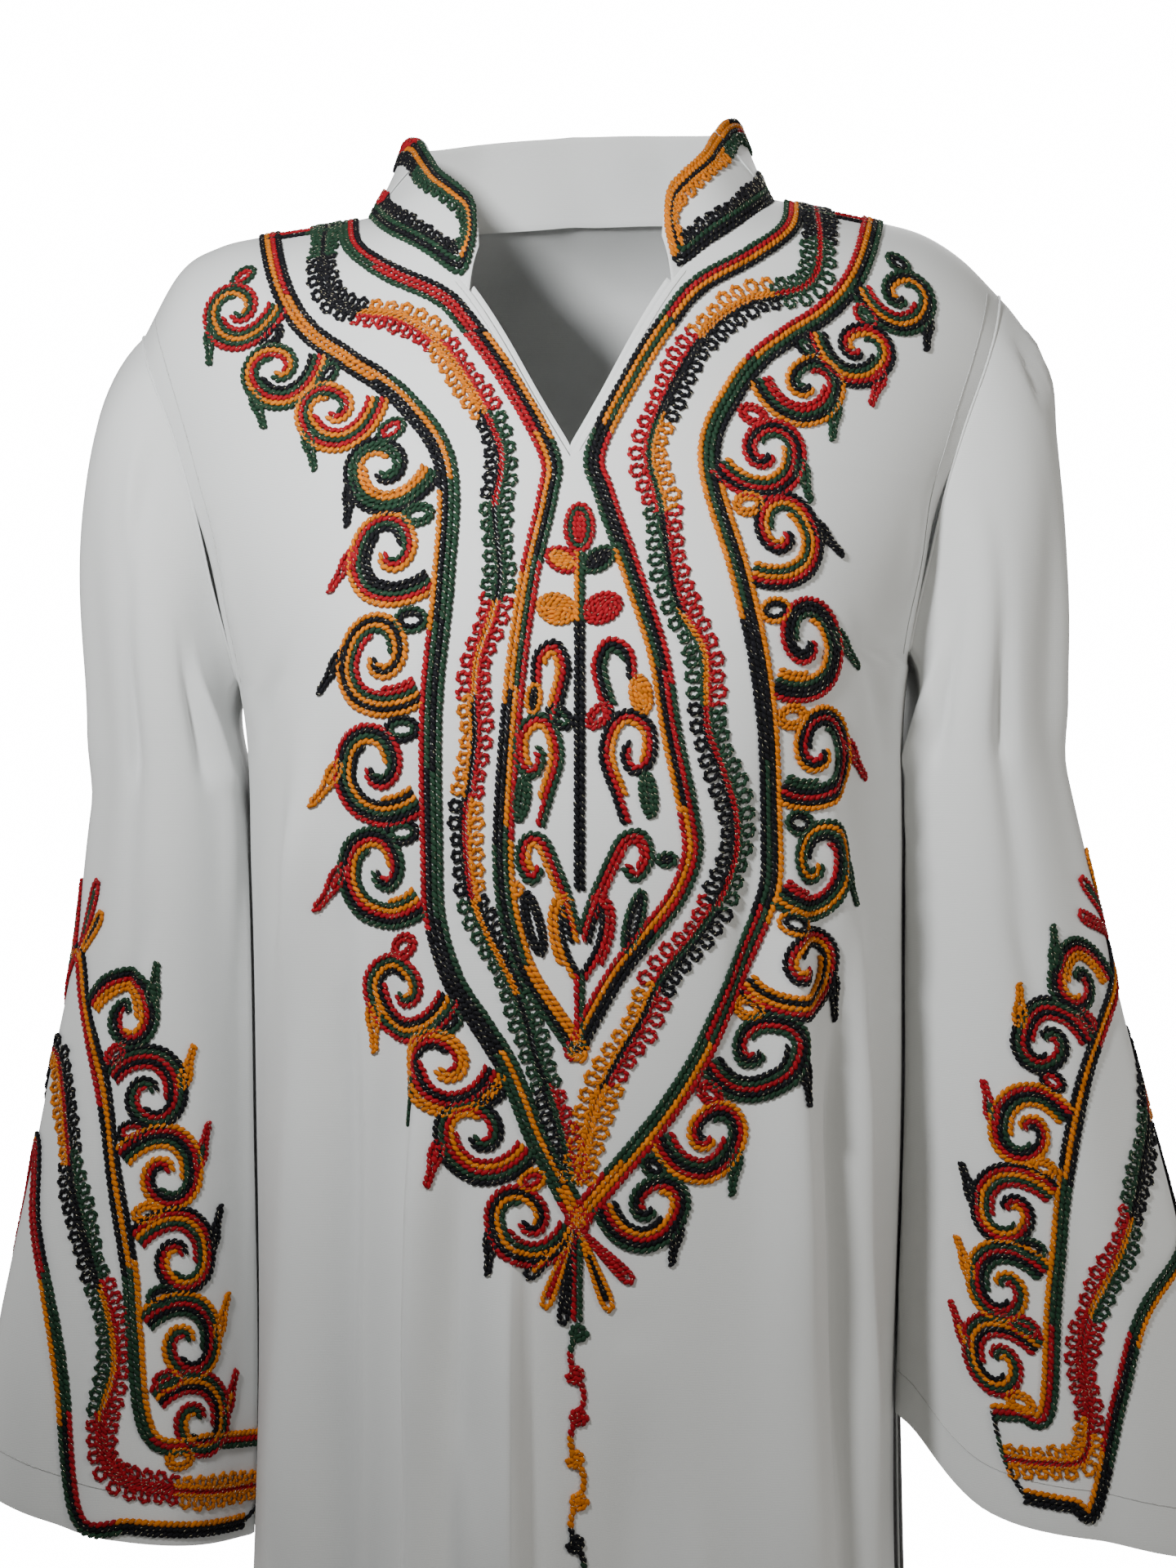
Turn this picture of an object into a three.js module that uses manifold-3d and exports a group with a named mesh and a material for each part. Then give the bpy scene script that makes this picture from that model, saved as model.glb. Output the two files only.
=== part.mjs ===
// A long embroidered abaya as it hangs on a standing wearer: front, back, two set-in bell sleeves, a stand
// collar open at the front, and the raised couched-cord embroidery on the chest, collar and sleeves.
// Millimetres. +X is the wearer's left, -Y is out of the chest, +Z is up. The origin is the middle of the
// neck base, level with the points where the collar meets the shoulder seams.
import * as THREE from "three";
import Module from "manifold-3d";

const wasm = await Module();
wasm.setup();

// Driving sizes
const CLOTH = 1.5; // wall thickness
const SEAM = 0.3; // gap between two pieces at a seam
const BESIDE = 3.6; // gap between a sleeve and the side it hangs against
const LENGTH = 1400; // shoulder seam to hem
const NECK_HALF = 103; // centre to collar at the shoulder seam
const SHOULDER_HALF = 221; // centre to sleeve seam
const ARMPIT_DROP = 245; // shoulder level to the bottom of the armhole
const SLIT_DROP = 148; // shoulder level to the bottom of the neck slit
const SHOULDER_ROLL = 45; // drop over which the cloth turns over the shoulder
const LEAN = 0.045; // one shoulder is carried higher, per mm off centre
const FLATNESS = 0.86; // 1 makes the body's sections elliptical, and less makes them squarer

// Body sections, one row per drop below the shoulder seam: right and left half widths, front and back depths.
const BODY = [
  { drop: 0, right: 238, left: 238, front: 62, back: 66 },
  { drop: 60, right: 233, left: 233, front: 86, back: 90 },
  { drop: 110, right: 216, left: 216, front: 104, back: 102 },
  { drop: 180, right: 192, left: 192, front: 124, back: 108 },
  { drop: 250, right: 168, left: 172, front: 134, back: 106 },
  { drop: 340, right: 164, left: 170, front: 138, back: 104 },
  { drop: 460, right: 162, left: 170, front: 136, back: 108 },
  { drop: 620, right: 162, left: 171, front: 137, back: 120 },
  { drop: 800, right: 171, left: 177, front: 146, back: 136 },
  { drop: 1100, right: 201, left: 204, front: 172, back: 164 },
  { drop: 1400, right: 232, left: 234, front: 202, back: 194 },
];
// Height of the shoulder seam by distance out from the centre.
const SHOULDER = [
  { out: 0, right: 16, left: 16 },
  { out: 50, right: 12, left: 12 },
  { out: NECK_HALF, right: 0, left: 0 },
  { out: 159, right: -7, left: -14 },
  { out: 181, right: -11, left: -21 },
  { out: 201, right: -22, left: -34 },
  { out: 221, right: -55, left: -54 },
];
// Where the neck edge and the armhole edge cross each level, in mm from the centre.
const NECK_FRONT = [
  { drop: 0, at: NECK_HALF },
  { drop: 8, at: 101 },
  { drop: 22, at: 91 },
  { drop: 38, at: 75 },
  { drop: 52, at: 60 },
  { drop: 66, at: 49 },
  { drop: 90, at: 34 },
  { drop: 120, at: 17 },
  { drop: SLIT_DROP, at: 0 },
];
const NECK_BACK_DROP = 11; // the back neck edge at its lowest
const ARMHOLE_FRONT = [
  { drop: 0, at: SHOULDER_HALF },
  { drop: 67, at: 207 },
  { drop: 112, at: 196 },
  { drop: 154, at: 186 },
  { drop: 190, at: 179 },
  { drop: 222, at: 172 },
  { drop: ARMPIT_DROP, at: 168 },
];
const ARMHOLE_BACK = [
  { drop: 0, at: SHOULDER_HALF },
  { drop: 60, at: 212 },
  { drop: 120, at: 203 },
  { drop: 180, at: 187 },
  { drop: 222, at: 172 },
  { drop: ARMPIT_DROP, at: 168 },
];
// Standing folds: the angle round from centre front or back, half width in degrees, height at the hem,
// the drop where each starts, and how far its sides are drawn under it.
const FRONT_FOLDS = [
  { angle: -57, half: 16, height: 15, start: 250, tuck: 0.1 },
  { angle: -17, half: 11, height: 15, start: 330, tuck: 0.16 },
  { angle: 17, half: 11, height: 7, start: 760, tuck: 0 },
  { angle: 43, half: 13, height: 15, start: 270, tuck: 0.12 },
  { angle: 66, half: 9, height: 10, start: 420, tuck: 0 },
];
const BACK_FOLDS = [
  { angle: -64, half: 13, height: 13, start: 300, tuck: 0.1 },
  { angle: -36, half: 11, height: 14, start: 260, tuck: 0.15 },
  { angle: -8, half: 12, height: 15, start: 330, tuck: 0.1 },
  { angle: 22, half: 12, height: 13, start: 280, tuck: 0.15 },
  { angle: 52, half: 13, height: 14, start: 300, tuck: 0.1 },
];
// Sleeve sections below the cap: inner and outer distance from the centre, and front and back depths.
const RIGHT_SLEEVE = [
  { drop: 300, inner: 165, outer: 243, front: 60, back: 48 },
  { drop: 380, inner: 162, outer: 253, front: 62, back: 50 },
  { drop: 460, inner: 160, outer: 269, front: 64, back: 52 },
  { drop: 540, inner: 159, outer: 287, front: 68, back: 55 },
  { drop: 620, inner: 159, outer: 301, front: 74, back: 58 },
  { drop: 680, inner: 159, outer: 307, front: 79, back: 62 },
];
const LEFT_SLEEVE = [
  { drop: 300, inner: 169, outer: 253, front: 62, back: 50 },
  { drop: 380, inner: 170, outer: 274, front: 64, back: 51 },
  { drop: 460, inner: 170, outer: 297, front: 67, back: 53 },
  { drop: 540, inner: 170, outer: 318, front: 71, back: 57 },
  { drop: 620, inner: 171, outer: 335, front: 77, back: 61 },
  { drop: 688, inner: 172, outer: 343, front: 82, back: 65 },
];
// Height of the sleeve hems round each sleeve: the drop reached at each angle round from the outer side.
const SLEEVE_HEM = [
  { degrees: 0, right: 652, left: 686 },
  { degrees: 45, right: 648, left: 678 },
  { degrees: 85, right: 661, left: 665 },
  { degrees: 125, right: 671, left: 653 },
  { degrees: 160, right: 676, left: 618 },
  { degrees: 200, right: 678, left: 618 },
  { degrees: 260, right: 674, left: 660 },
  { degrees: 315, right: 660, left: 684 },
  { degrees: 360, right: 652, left: 686 },
];
const HEM_LIFT_START = 440; // drop from which the cloth is drawn up towards the uneven hem
const SLEEVE_FOLDS = [
  { angle: 62, half: 26, height: 7, start: 330 },
  { angle: 150, half: 30, height: 9, start: 300 },
  { angle: 222, half: 24, height: 8, start: 360 },
  { angle: 300, half: 26, height: 8, start: 330 },
];

// The collar by distance round the neck from its front ends: width of the band, and how far it leans in.
const COLLAR = [
  { from_end: 0, height: 25, lean: 0.4 },
  { from_end: 6, height: 33, lean: 0.42 },
  { from_end: 20, height: 41, lean: 0.48 },
  { from_end: 60, height: 46, lean: 0.62 },
  { from_end: 105, height: 48, lean: 0.62 },
  { from_end: 150, height: 47, lean: 0.28 },
  { from_end: 210, height: 46, lean: 0.08 },
];

// Raised cord. Chest rows give mm out from the centre on each side, and the drop. The right side is narrower
// because its folds take up some of the width.
const CORD_CLEAR = 0.95; // gap between the cloth and the underside of the cord
const COLLAR_CLEAR = 1.3; // the same on the tighter bend of the collar
const CORD_RISE = 1.8;
const BORDER_WIDTH = 12;
const SECOND_WIDTH = 10;
const WAVE_WIDTH = 12;
const CLOSING_WIDTH = 6;
const CHAIN_WIDTH = 5;
const COLLAR_CORD_WIDTH = 8;
const CHEST_BORDER = [
  { right: 154, left: 154, drop: 3 },
  { right: 141, left: 140, drop: 45 },
  { right: 126, left: 123, drop: 70 },
  { right: 101, left: 97, drop: 92 },
  { right: 77, left: 78, drop: 116 },
  { right: 58, left: 65, drop: 149 },
  { right: 58, left: 77, drop: 202 },
  { right: 62, left: 86, drop: 259 },
  { right: 63, left: 93, drop: 330 },
  { right: 60, left: 90, drop: 358 },
  { right: 47, left: 62, drop: 422 },
  { right: 30, left: 34, drop: 460 },
  { right: -4, left: 4, drop: 497 },
];
const CHEST_SECOND = [
  { right: 108, left: 108, drop: 5 },
  { right: 102, left: 102, drop: 25 },
  { right: 84, left: 84, drop: 43 },
  { right: 59, left: 59, drop: 62 },
  { right: 46, left: 46, drop: 82 },
  { right: 30, left: 31, drop: 110 },
  { right: 10, left: 12, drop: 146 },
  { right: 11, left: 15, drop: 165 },
  { right: 24, left: 29, drop: 218 },
  { right: 33, left: 41, drop: 262 },
  { right: 40, left: 59, drop: 302 },
  { right: 41, left: 62, drop: 322 },
  { right: 38, left: 56, drop: 345 },
  { right: 20, left: 32, drop: 383 },
  { right: -3, left: 3, drop: 422 },
];
const CHEST_WAVE = [
  { right: 124, left: 124, drop: 3 },
  { right: 117, left: 118, drop: 53 },
  { right: 82, left: 84, drop: 72 },
  { right: 59, left: 61, drop: 95 },
  { right: 34, left: 38, drop: 141 },
  { right: 40, left: 53, drop: 190 },
  { right: 46, left: 66, drop: 232 },
  { right: 49, left: 75, drop: 275 },
  { right: 52, left: 80, drop: 312 },
  { right: 52, left: 78, drop: 335 },
  { right: 32, left: 42, drop: 388 },
  { right: -3, left: 3, drop: 462 },
];
const CHEST_CLOSING = [{ right: 154, left: 154, drop: 3 }, { right: 108, left: 108, drop: 5 }];
const CHEST_FAN = [
  [[4, 502], [1, 520], [-14, 534]],
  [[4, 502], [3, 525], [-6, 541]],
  [[4, 502], [8, 522], [19, 535]],
  [[4, 502], [12, 512], [29, 521]],
];
const CHEST_MIDDLE = [
  [[4, 484], [4, 512]],
  [[3, 410], [3, 470]],
];
const CHEST_CHAIN = [[4, 499], [2, 560], [5, 650], [5, 800], [4, 1000], [4, 1200], [4, 1380]];
// Scrolls by mm along the border, and their size.
const CHEST_SCROLLS = [
  { at: 62, size: 0.74 },
  { at: 95, size: 0.8 },
  { at: 139, size: 0.84 },
  { at: 192, size: 0.9 },
  { at: 250, size: 0.96 },
  { at: 303, size: 1 },
  { at: 353, size: 1 },
  { at: 400, size: 1 },
  { at: 443, size: 0.92 },
  { at: 484, size: 0.88 },
  { at: 524, size: 0.84 },
  { at: 565, size: 0.8 },
];
const PLANT_CENTRE = 4;
const PLANT = [
  { width: 9, rows: [[0, 192], [0, 180], [0, 171]] },
  { width: 5, rows: [[0, 186], [0, 226]] },
  { width: 4, rows: [[0, 222], [0, 256], [0, 300], [0, 353], [0, 381], [0, 403]] },
  { width: 7, rows: [[0, 222], [-9, 211], [-14, 206]], both: true },
  { width: 6, rows: [[0, 202], [-6, 194], [-9, 187]], both: true },
  { width: 5, rows: [[0, 268], [-8, 252], [-15, 238], [-11, 232], [-6, 236]], both: true },
  { width: 5, rows: [[-15, 238], [-21, 246], [-23, 256]], both: true },
  { width: 5, rows: [[0, 344], [-19, 318], [-28, 298], [-27, 281], [-18, 275], [-14, 285]], both: true },
  { width: 5, rows: [[0, 353], [-17, 345], [-28, 336], [-29, 326], [-21, 322]], both: true },
  { width: 6, rows: [[-17, 345], [-18, 360], [-18, 372]], both: true },
  { width: 5, rows: [[0, 385], [-6, 372], [-8, 358]], both: true },
];
// Sleeve rows give degrees round from the outer side on each sleeve, and the drop.
const SLEEVE_BORDER = [
  { right: 30, left: 12, drop: 368 },
  { right: 46, left: 36, drop: 402 },
  { right: 67, left: 66, drop: 442 },
  { right: 84, left: 83, drop: 494 },
  { right: 96, left: 92, drop: 540 },
  { right: 101, left: 97, drop: 574 },
  { right: 111, left: 103, drop: 627 },
  { right: 138, left: 112, drop: 629 },
  { right: 172, left: 121, drop: 633 },
];
const SLEEVE_SECOND = [
  { right: 30, left: 12, drop: 478 },
  { right: 44, left: 30, drop: 522 },
  { right: 61, left: 62, drop: 564 },
  { right: 73, left: 76, drop: 610 },
  { right: 84, left: 89, drop: 672 },
  { right: 105, left: 96, drop: 672 },
  { right: 128, left: 104, drop: 672 },
  { right: 153, left: 112, drop: 672 },
];
const SLEEVE_WAVE = [
  { right: 30, left: 12, drop: 430 },
  { right: 53, left: 40, drop: 474 },
  { right: 71, left: 62, drop: 522 },
  { right: 88, left: 80, drop: 562 },
  { right: 94, left: 88, drop: 592 },
  { right: 91, left: 88, drop: 622 },
  { right: 98, left: 92, drop: 648 },
  { right: 125, left: 105, drop: 653 },
  { right: 168, left: 118, drop: 656 },
];
const SLEEVE_SCROLLS = [48, 90, 132, 174, 216, 254]; // mm along the border from its peak
const SLEEVE_SIZE = 0.78; // a sleeve scroll beside a chest scroll
// One scroll, in mm out from the border and up along it, with the width of the cord there.
const SCROLL = [
  { out: -1, up: 1, width: 12 },
  { out: 18, up: -9, width: 12 },
  { out: 35.5, up: -5, width: 11 },
  { out: 40, up: 12, width: 9.5 },
  { out: 28, up: 24, width: 8.5 },
  { out: 18.5, up: 14, width: 7.5 },
  { out: 24, up: 4, width: 6.5 },
  { out: 30, up: 10, width: 4.5 },
];
const SCROLL_LOOP = [
  { out: 24, up: 21, width: 10 },
  { out: 9, up: 31, width: 7 },
];
const SCROLL_LEAF = [
  { out: 42, up: 12, width: 6 },
  { out: 50, up: -3, width: 3 },
];

const CHEST_CUTS = [-126, -99, -85, -57, 0, 80, 93, 106, 131]; // where the cord is also cut, across the chest

// Grid spacing
const BODY_DROPS = [
  0, 2, 9, 22, 42, 66, 92, 120, SLIT_DROP, 182, 215, ARMPIT_DROP,
  295, 355, 430, 520, 640, 790, 980, 1190, LENGTH,
];
const FRONT_COLUMNS = 15; // each side of the centre line
const BACK_COLUMNS = 10;
const SLEEVE_CAP_ROWS = 6;
const SLEEVE_DROPS = [350, 405, 460, 515, 570, 630];
const SLEEVE_COLUMNS = 18;
const COLLAR_STEPS = 30;

// Small maths
const clamp = (x, low = 0, high = 1) => Math.min(high, Math.max(low, x));
const ease = (from, to, x) => {
  const t = clamp((x - from) / (to - from));
  return t * t * (3 - 2 * t);
};
const radians = (degrees) => (degrees * Math.PI) / 180;

// A smooth value from a table: cubic pieces through the rows, flat at the two ends.
function along(table, column, at, key = "drop") {
  const last = table.length - 1;
  if (at <= table[0][key]) return table[0][column];
  if (at >= table[last][key]) return table[last][column];
  const i = table.findIndex((row) => row[key] > at) - 1;
  const slope = (k) => {
    if (k === 0 || k === last) {
      const j = k === 0 ? 0 : last - 1;
      return (table[j + 1][column] - table[j][column]) / (table[j + 1][key] - table[j][key]);
    }
    return (table[k + 1][column] - table[k - 1][column]) / (table[k + 1][key] - table[k - 1][key]);
  };
  const span = table[i + 1][key] - table[i][key];
  const t = (at - table[i][key]) / span;
  const from = table[i][column];
  const to = table[i + 1][column];
  return (
    (2 * t ** 3 - 3 * t * t + 1) * from +
    (t ** 3 - 2 * t * t + t) * span * slope(i) +
    (3 * t * t - 2 * t ** 3) * to +
    (t ** 3 - t * t) * span * slope(i + 1)
  );
}

const shoulderFall = (x) => along(SHOULDER, x < 0 ? "right" : "left", Math.abs(x), "out");
const fallLeft = (drop) => 1 - ease(0, 235, drop);
const leaning = (x, z) => z + LEAN * x * ease(-480, -200, z);

// How far a set of folds moves a point out, and sideways in degrees, at one angle and level.
function foldShift(folds, degrees, drop) {
  let out = 0;
  let aside = 0;
  for (const fold of folds) {
    const t = (degrees - fold.angle) / (fold.half * 1.6);
    if (Math.abs(t) >= 1) continue;
    const grown = ease(fold.start, fold.start + 420, drop) * 0.6 + 0.4 * ease(fold.start, LENGTH, drop);
    out += fold.height * grown * (0.5 + 0.5 * Math.cos(Math.PI * t));
    aside += (fold.tuck ?? 0) * fold.half * grown * Math.sin(Math.PI * t);
  }
  return { out, aside };
}

// A point of the body cloth. face is -1 for the front and 1 for the back.
function bodyPoint(face, x, drop) {
  const half = along(BODY, x < 0 ? "right" : "left", drop);
  const depth = along(BODY, face < 0 ? "front" : "back", drop);
  const turned = clamp(1 - drop / SHOULDER_ROLL);
  const roll = Math.sqrt(1 - turned * turned);
  const angle = Math.asin(clamp(x / half, -1, 1));
  const folds = face < 0 ? FRONT_FOLDS : BACK_FOLDS;
  const { out, aside } = foldShift(folds, (angle * 180) / Math.PI, drop);
  const seen = angle + radians(aside);
  const sag = face < 0 ? ease(420, 700, drop) * 8 * Math.cos(angle * 2.4) ** 2 * (x > 0 ? 1 : 0.4) : 0;
  const bust = face < 0 ? 9 * Math.exp(-(((Math.abs(x) - 95) / 48) ** 2) - ((drop - 250) / 75) ** 2) : 0;
  const px = half * Math.sin(seen) + out * Math.sin(angle);
  const round = depth * roll * Math.abs(Math.cos(seen)) ** FLATNESS;
  const py = face * (round + (out + bust - sag) * Math.cos(angle) + SEAM / 2);
  return new THREE.Vector3(px, py, leaning(px, -drop + shoulderFall(x) * fallLeft(drop)));
}

// The points of one side of a panel: rows from the shoulder to the hem, columns from the inner edge out.
function bodyHalf(face, sign, columns) {
  const armhole = face < 0 ? ARMHOLE_FRONT : ARMHOLE_BACK;
  return BODY_DROPS.map((level) => {
    const half = along(BODY, sign < 0 ? "right" : "left", level);
    const from = face < 0 && level < SLIT_DROP ? Math.asin(along(NECK_FRONT, "at", level) / half) : 0;
    const to = level < ARMPIT_DROP ? Math.asin(along(armhole, "at", level) / half) : Math.PI / 2;
    return Array.from({ length: columns + 1 }, (_, c) => {
      const angle = from + ((to - from) * c) / columns;
      const x = half * Math.sin(angle);
      const neck = NECK_BACK_DROP * Math.sqrt(Math.max(0, 1 - (x / NECK_HALF) ** 2));
      const drop = face < 0 ? level : level + neck * clamp(1 - level / 60);
      return { angle, drop, point: bodyPoint(face, sign * x, drop) };
    });
  });
}

// Grids of points joined into one skin. Shared points are made one, so halves meet along their common edge.
function skin(grids) {
  const points = [];
  const faces = [];
  const known = new Map();
  const index = (p) => {
    const key = [p.x, p.y, p.z].map((v) => Math.round(v * 100)).join();
    if (!known.has(key)) {
      known.set(key, points.length);
      points.push(p);
    }
    return known.get(key);
  };
  for (const { rows, flip, closed } of grids) {
    const ids = rows.map((row) => row.map(index));
    const across = ids[0].length - (closed ? 0 : 1);
    for (let r = 0; r + 1 < ids.length; r++)
      for (let c = 0; c < across; c++) {
        const d = (c + 1) % ids[r].length;
        const quad = [ids[r][c], ids[r + 1][c], ids[r + 1][d], ids[r][d]];
        if (flip) quad.reverse();
        for (const tri of [[quad[0], quad[1], quad[2]], [quad[0], quad[2], quad[3]]])
          if (new Set(tri).size === 3) faces.push(tri);
      }
  }
  const normals = points.map(() => new THREE.Vector3());
  for (const [a, b, c] of faces) {
    const ab = points[b].clone().sub(points[a]);
    const n = ab.cross(points[c].clone().sub(points[a]));
    for (const i of [a, b, c]) normals[i].add(n);
  }
  // On the shoulder and side seams the wall is square to the seam, so front and back stay apart.
  normals.forEach((n, i) => (Math.abs(points[i].y) < SEAM ? n.setY(0) : n).normalize());
  return { points, faces, normals, index };
}

// A skin thickened inwards into a closed wall.
function wall({ points, faces, normals }, thickness = CLOTH) {
  return closed(points, points.map((p, i) => p.clone().addScaledVector(normals[i], -thickness)), faces);
}

// Two levels of the same faces, closed along their open edges.
function closed(outer, inner, faces) {
  const count = outer.length;
  const all = faces.flatMap(([a, b, c]) => [[a, b, c], [a + count, c + count, b + count]]);
  const edges = new Map();
  for (const face of faces)
    for (let k = 0; k < 3; k++) edges.set(face[k] + "," + face[(k + 1) % 3], [face[k], face[(k + 1) % 3]]);
  for (const [a, b] of edges.values())
    if (!edges.has(b + "," + a)) all.push([b, a, a + count], [b, a + count, b + count]);
  return turnedOut(solid([...outer, ...inner], all));
}

function solid(points, faces) {
  const geometry = new THREE.BufferGeometry();
  const places = new Float32Array(points.flatMap((p) => [p.x, p.y, p.z]));
  geometry.setAttribute("position", new THREE.BufferAttribute(places, 3));
  geometry.setIndex(faces.flat());
  return geometry;
}

// Body panels
function panel(face, columns) {
  const left = bodyHalf(face, 1, columns);
  const right = bodyHalf(face, -1, columns);
  const plain = (rows) => rows.map((row) => row.map((cell) => cell.point));
  const made = skin([
    { rows: plain(left), flip: face > 0 },
    { rows: plain(right), flip: face < 0 },
  ]);
  return { left, right, made, columns };
}
const front = panel(-1, FRONT_COLUMNS);
const back = panel(1, BACK_COLUMNS);

// The armhole edge as a closed ring: from the shoulder point down the front edge and up the back edge.
function armhole(sign) {
  const edge = (body) => {
    const rows = (sign < 0 ? body.right : body.left).filter((row) => row[0].drop <= ARMPIT_DROP);
    return rows.map((row) => row[body.columns].point);
  };
  const down = edge(front);
  const up = edge(back).reverse();
  return [...down, ...up.slice(0, -1)];
}

// A ring of points spaced evenly by length, starting at its first point.
function respaced(ring, count) {
  const path = new THREE.CurvePath();
  ring.forEach((p, i) => path.add(new THREE.LineCurve3(p, ring[(i + 1) % ring.length])));
  return Array.from({ length: count }, (_, i) => path.getPointAt(i / count));
}

// How far out the side of the body reaches at one level, at a depth y.
function bodySide(sign, y, drop) {
  const half = along(BODY, sign < 0 ? "right" : "left", drop);
  const side = Array.from({ length: 14 }, (_, i) => {
    const p = bodyPoint(y < 0 ? -1 : 1, sign * half * Math.sin(radians(25 + i * 5)), drop);
    return { x: Math.abs(p.x), y: -Math.abs(p.y) };
  });
  return along(side, "x", -Math.abs(y), "y");
}

// A point of the sleeve's tube below the cap. angle 0 is the outer side and 90 degrees the front.
function sleevePoint(sign, angle, drop) {
  const table = sign < 0 ? RIGHT_SLEEVE : LEFT_SLEEVE;
  const [inner, outer, ahead, behind] = ["inner", "outer", "front", "back"].map((c) => along(table, c, drop));
  const { out } = foldShift(SLEEVE_FOLDS, (angle * 180) / Math.PI, drop);
  const share = clamp((drop - 300) / 380);
  const x = (inner + outer) / 2 + ((outer - inner) / 2 + (out * 0.6 - 3 * share)) * Math.cos(angle);
  const depth = Math.sin(angle) > 0 ? -ahead : behind;
  const y = (depth + Math.sign(depth) * out) * Math.abs(Math.sin(angle));
  const full = table[table.length - 1].drop;
  const degrees = (((angle * 180) / Math.PI) % 360 + 360) % 360;
  const lift = full - along(SLEEVE_HEM, sign < 0 ? "right" : "left", degrees, "degrees");
  const level = drop - lift * ease(HEM_LIFT_START, full, drop);
  const clear = Math.max(x, bodySide(sign, y, level) + BESIDE);
  return new THREE.Vector3(sign * clear, y, leaning(sign * clear, -level));
}

function sleeve(sign) {
  const start = respaced(armhole(sign), SLEEVE_COLUMNS);
  const hem = sign < 0 ? RIGHT_SLEEVE : LEFT_SLEEVE;
  const drops = [...SLEEVE_DROPS, hem[hem.length - 1].drop];
  const angles = start.map((_, c) => (2 * Math.PI * c) / SLEEVE_COLUMNS);
  const cap = Array.from({ length: SLEEVE_CAP_ROWS + 1 }, (_, r) =>
    start.map((seam, c) => {
      const angle = angles[c];
      const end = sleevePoint(sign, angle, hem[0].drop);
      const reach = seam.distanceTo(end) * 0.95;
      const outward = sign * (0.62 + 0.1 * Math.cos(angle));
      const leave = new THREE.Vector3(outward, -0.34 * Math.sin(angle), -0.7).normalize();
      const from = seam.clone().addScaledVector(leave, SEAM * 2);
      const t = r / SLEEVE_CAP_ROWS;
      const arrive = end.clone().sub(sleevePoint(sign, angle, hem[0].drop + 20)).setLength(reach / 3);
      return new THREE.CubicBezierCurve3(
        from,
        from.clone().addScaledVector(leave, reach / 3),
        end.clone().add(arrive),
        end,
      ).getPoint(t);
    }),
  );
  const tube = drops.map((drop) => angles.map((angle) => sleevePoint(sign, angle, drop)));
  return { rows: [...cap, ...tube], capRows: cap.length, drops, angles };
}

// Stand collar: a band from the neck edge, leaning in, with rounded fronts.
function neckEdge() {
  const ahead = (rows) => rows.filter((row) => row[0].drop <= 66).map((row) => row[0].point);
  const behind = (rows) => rows[0].filter((cell) => cell.drop > 0).map((cell) => cell.point);
  const round = [...behind(back.right).reverse(), ...behind(back.left).slice(1)];
  return new THREE.CatmullRomCurve3([...ahead(front.right).reverse(), ...round, ...ahead(front.left)]);
}

function collarPoint(edge, share, up) {
  const foot = edge.getPointAt(clamp(share));
  const inward = new THREE.Vector3(-foot.x, -foot.y, 0).normalize();
  const fromEnd = Math.min(share, 1 - share) * edge.getLength();
  const height = along(COLLAR, "height", fromEnd, "from_end");
  const lean = along(COLLAR, "lean", fromEnd, "from_end");
  return foot
    .clone()
    .addScaledVector(inward, height * up * lean)
    .add(new THREE.Vector3(0, 0, SEAM * 2 + height * up * Math.sqrt(1 - lean * lean)));
}

const collarEdge = neckEdge();
const collarRows = [0, 0.5, 1].map((up) =>
  Array.from({ length: COLLAR_STEPS + 1 }, (_, i) => collarPoint(collarEdge, i / COLLAR_STEPS, up)),
);

// A spot on a grid of cloth points, held to its flat facets, with the direction out of the cloth there.
function onGrid({ rows, made, flip }, row, column) {
  const r = Math.floor(clamp(row, 0, rows.length - 1.001));
  const c = Math.floor(column);
  const t = row - r;
  const s = column - c;
  const width = rows[0].length;
  const corner = (i, j) => {
    const point = rows[r + i][(((c + j) % width) + width) % width];
    return { point, normal: made.normals[made.index(point)] };
  };
  const lower = flip ? s + t <= 1 : t >= s;
  const mixes = flip
    ? lower ? [1 - s - t, t, s, 0] : [0, 1 - s, 1 - t, s + t - 1]
    : lower ? [1 - t, t - s, 0, s] : [1 - s, 0, s - t, t];
  const corners = [corner(0, 0), corner(1, 0), corner(0, 1), corner(1, 1)];
  const blend = (key) => {
    const sum = new THREE.Vector3();
    corners.forEach((each, i) => sum.addScaledVector(each[key], mixes[i]));
    return sum;
  };
  return { point: blend("point"), normal: blend("normal").normalize() };
}

// The place of a value in an increasing list, in whole and part steps.
function step(list, value) {
  const i = clamp(list.findIndex((each) => each > value) - 1, 0, list.length - 2);
  return i + clamp((value - list[i]) / (list[i + 1] - list[i]), 0, 1);
}

// Where a chest spot lies on the front: mm to the left of the centre, and the drop.
function onFront(x, drop) {
  const row = step(BODY_DROPS, drop);
  const rows = x < 0 ? front.right : front.left;
  const column = (r) => {
    const cells = rows[r];
    const half = along(BODY, x < 0 ? "right" : "left", cells[0].drop);
    const [from, to] = [cells[0].angle, cells[FRONT_COLUMNS].angle];
    return (FRONT_COLUMNS * (Math.asin(clamp(Math.abs(x) / half, 0, 1)) - from)) / (to - from);
  };
  const above = Math.floor(row);
  const below = Math.min(above + 1, BODY_DROPS.length - 1);
  const mixed = column(above) + (column(below) - column(above)) * (row % 1);
  const grid = { rows: rows.map((cells) => cells.map((cell) => cell.point)), made: front.made, flip: x < 0 };
  return onGrid(grid, row, clamp(mixed, 0, FRONT_COLUMNS - 1e-4));
}

const onSleeve = (grid) => (degrees, drop) =>
  onGrid(grid, grid.capRows - 1 + step([300, ...grid.drops], drop), (degrees / 360) * SLEEVE_COLUMNS);

const onCollar = (column, up) => onGrid(collarGrid, clamp(up) * 2, clamp(column, 0, COLLAR_STEPS - 0.001));

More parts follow.
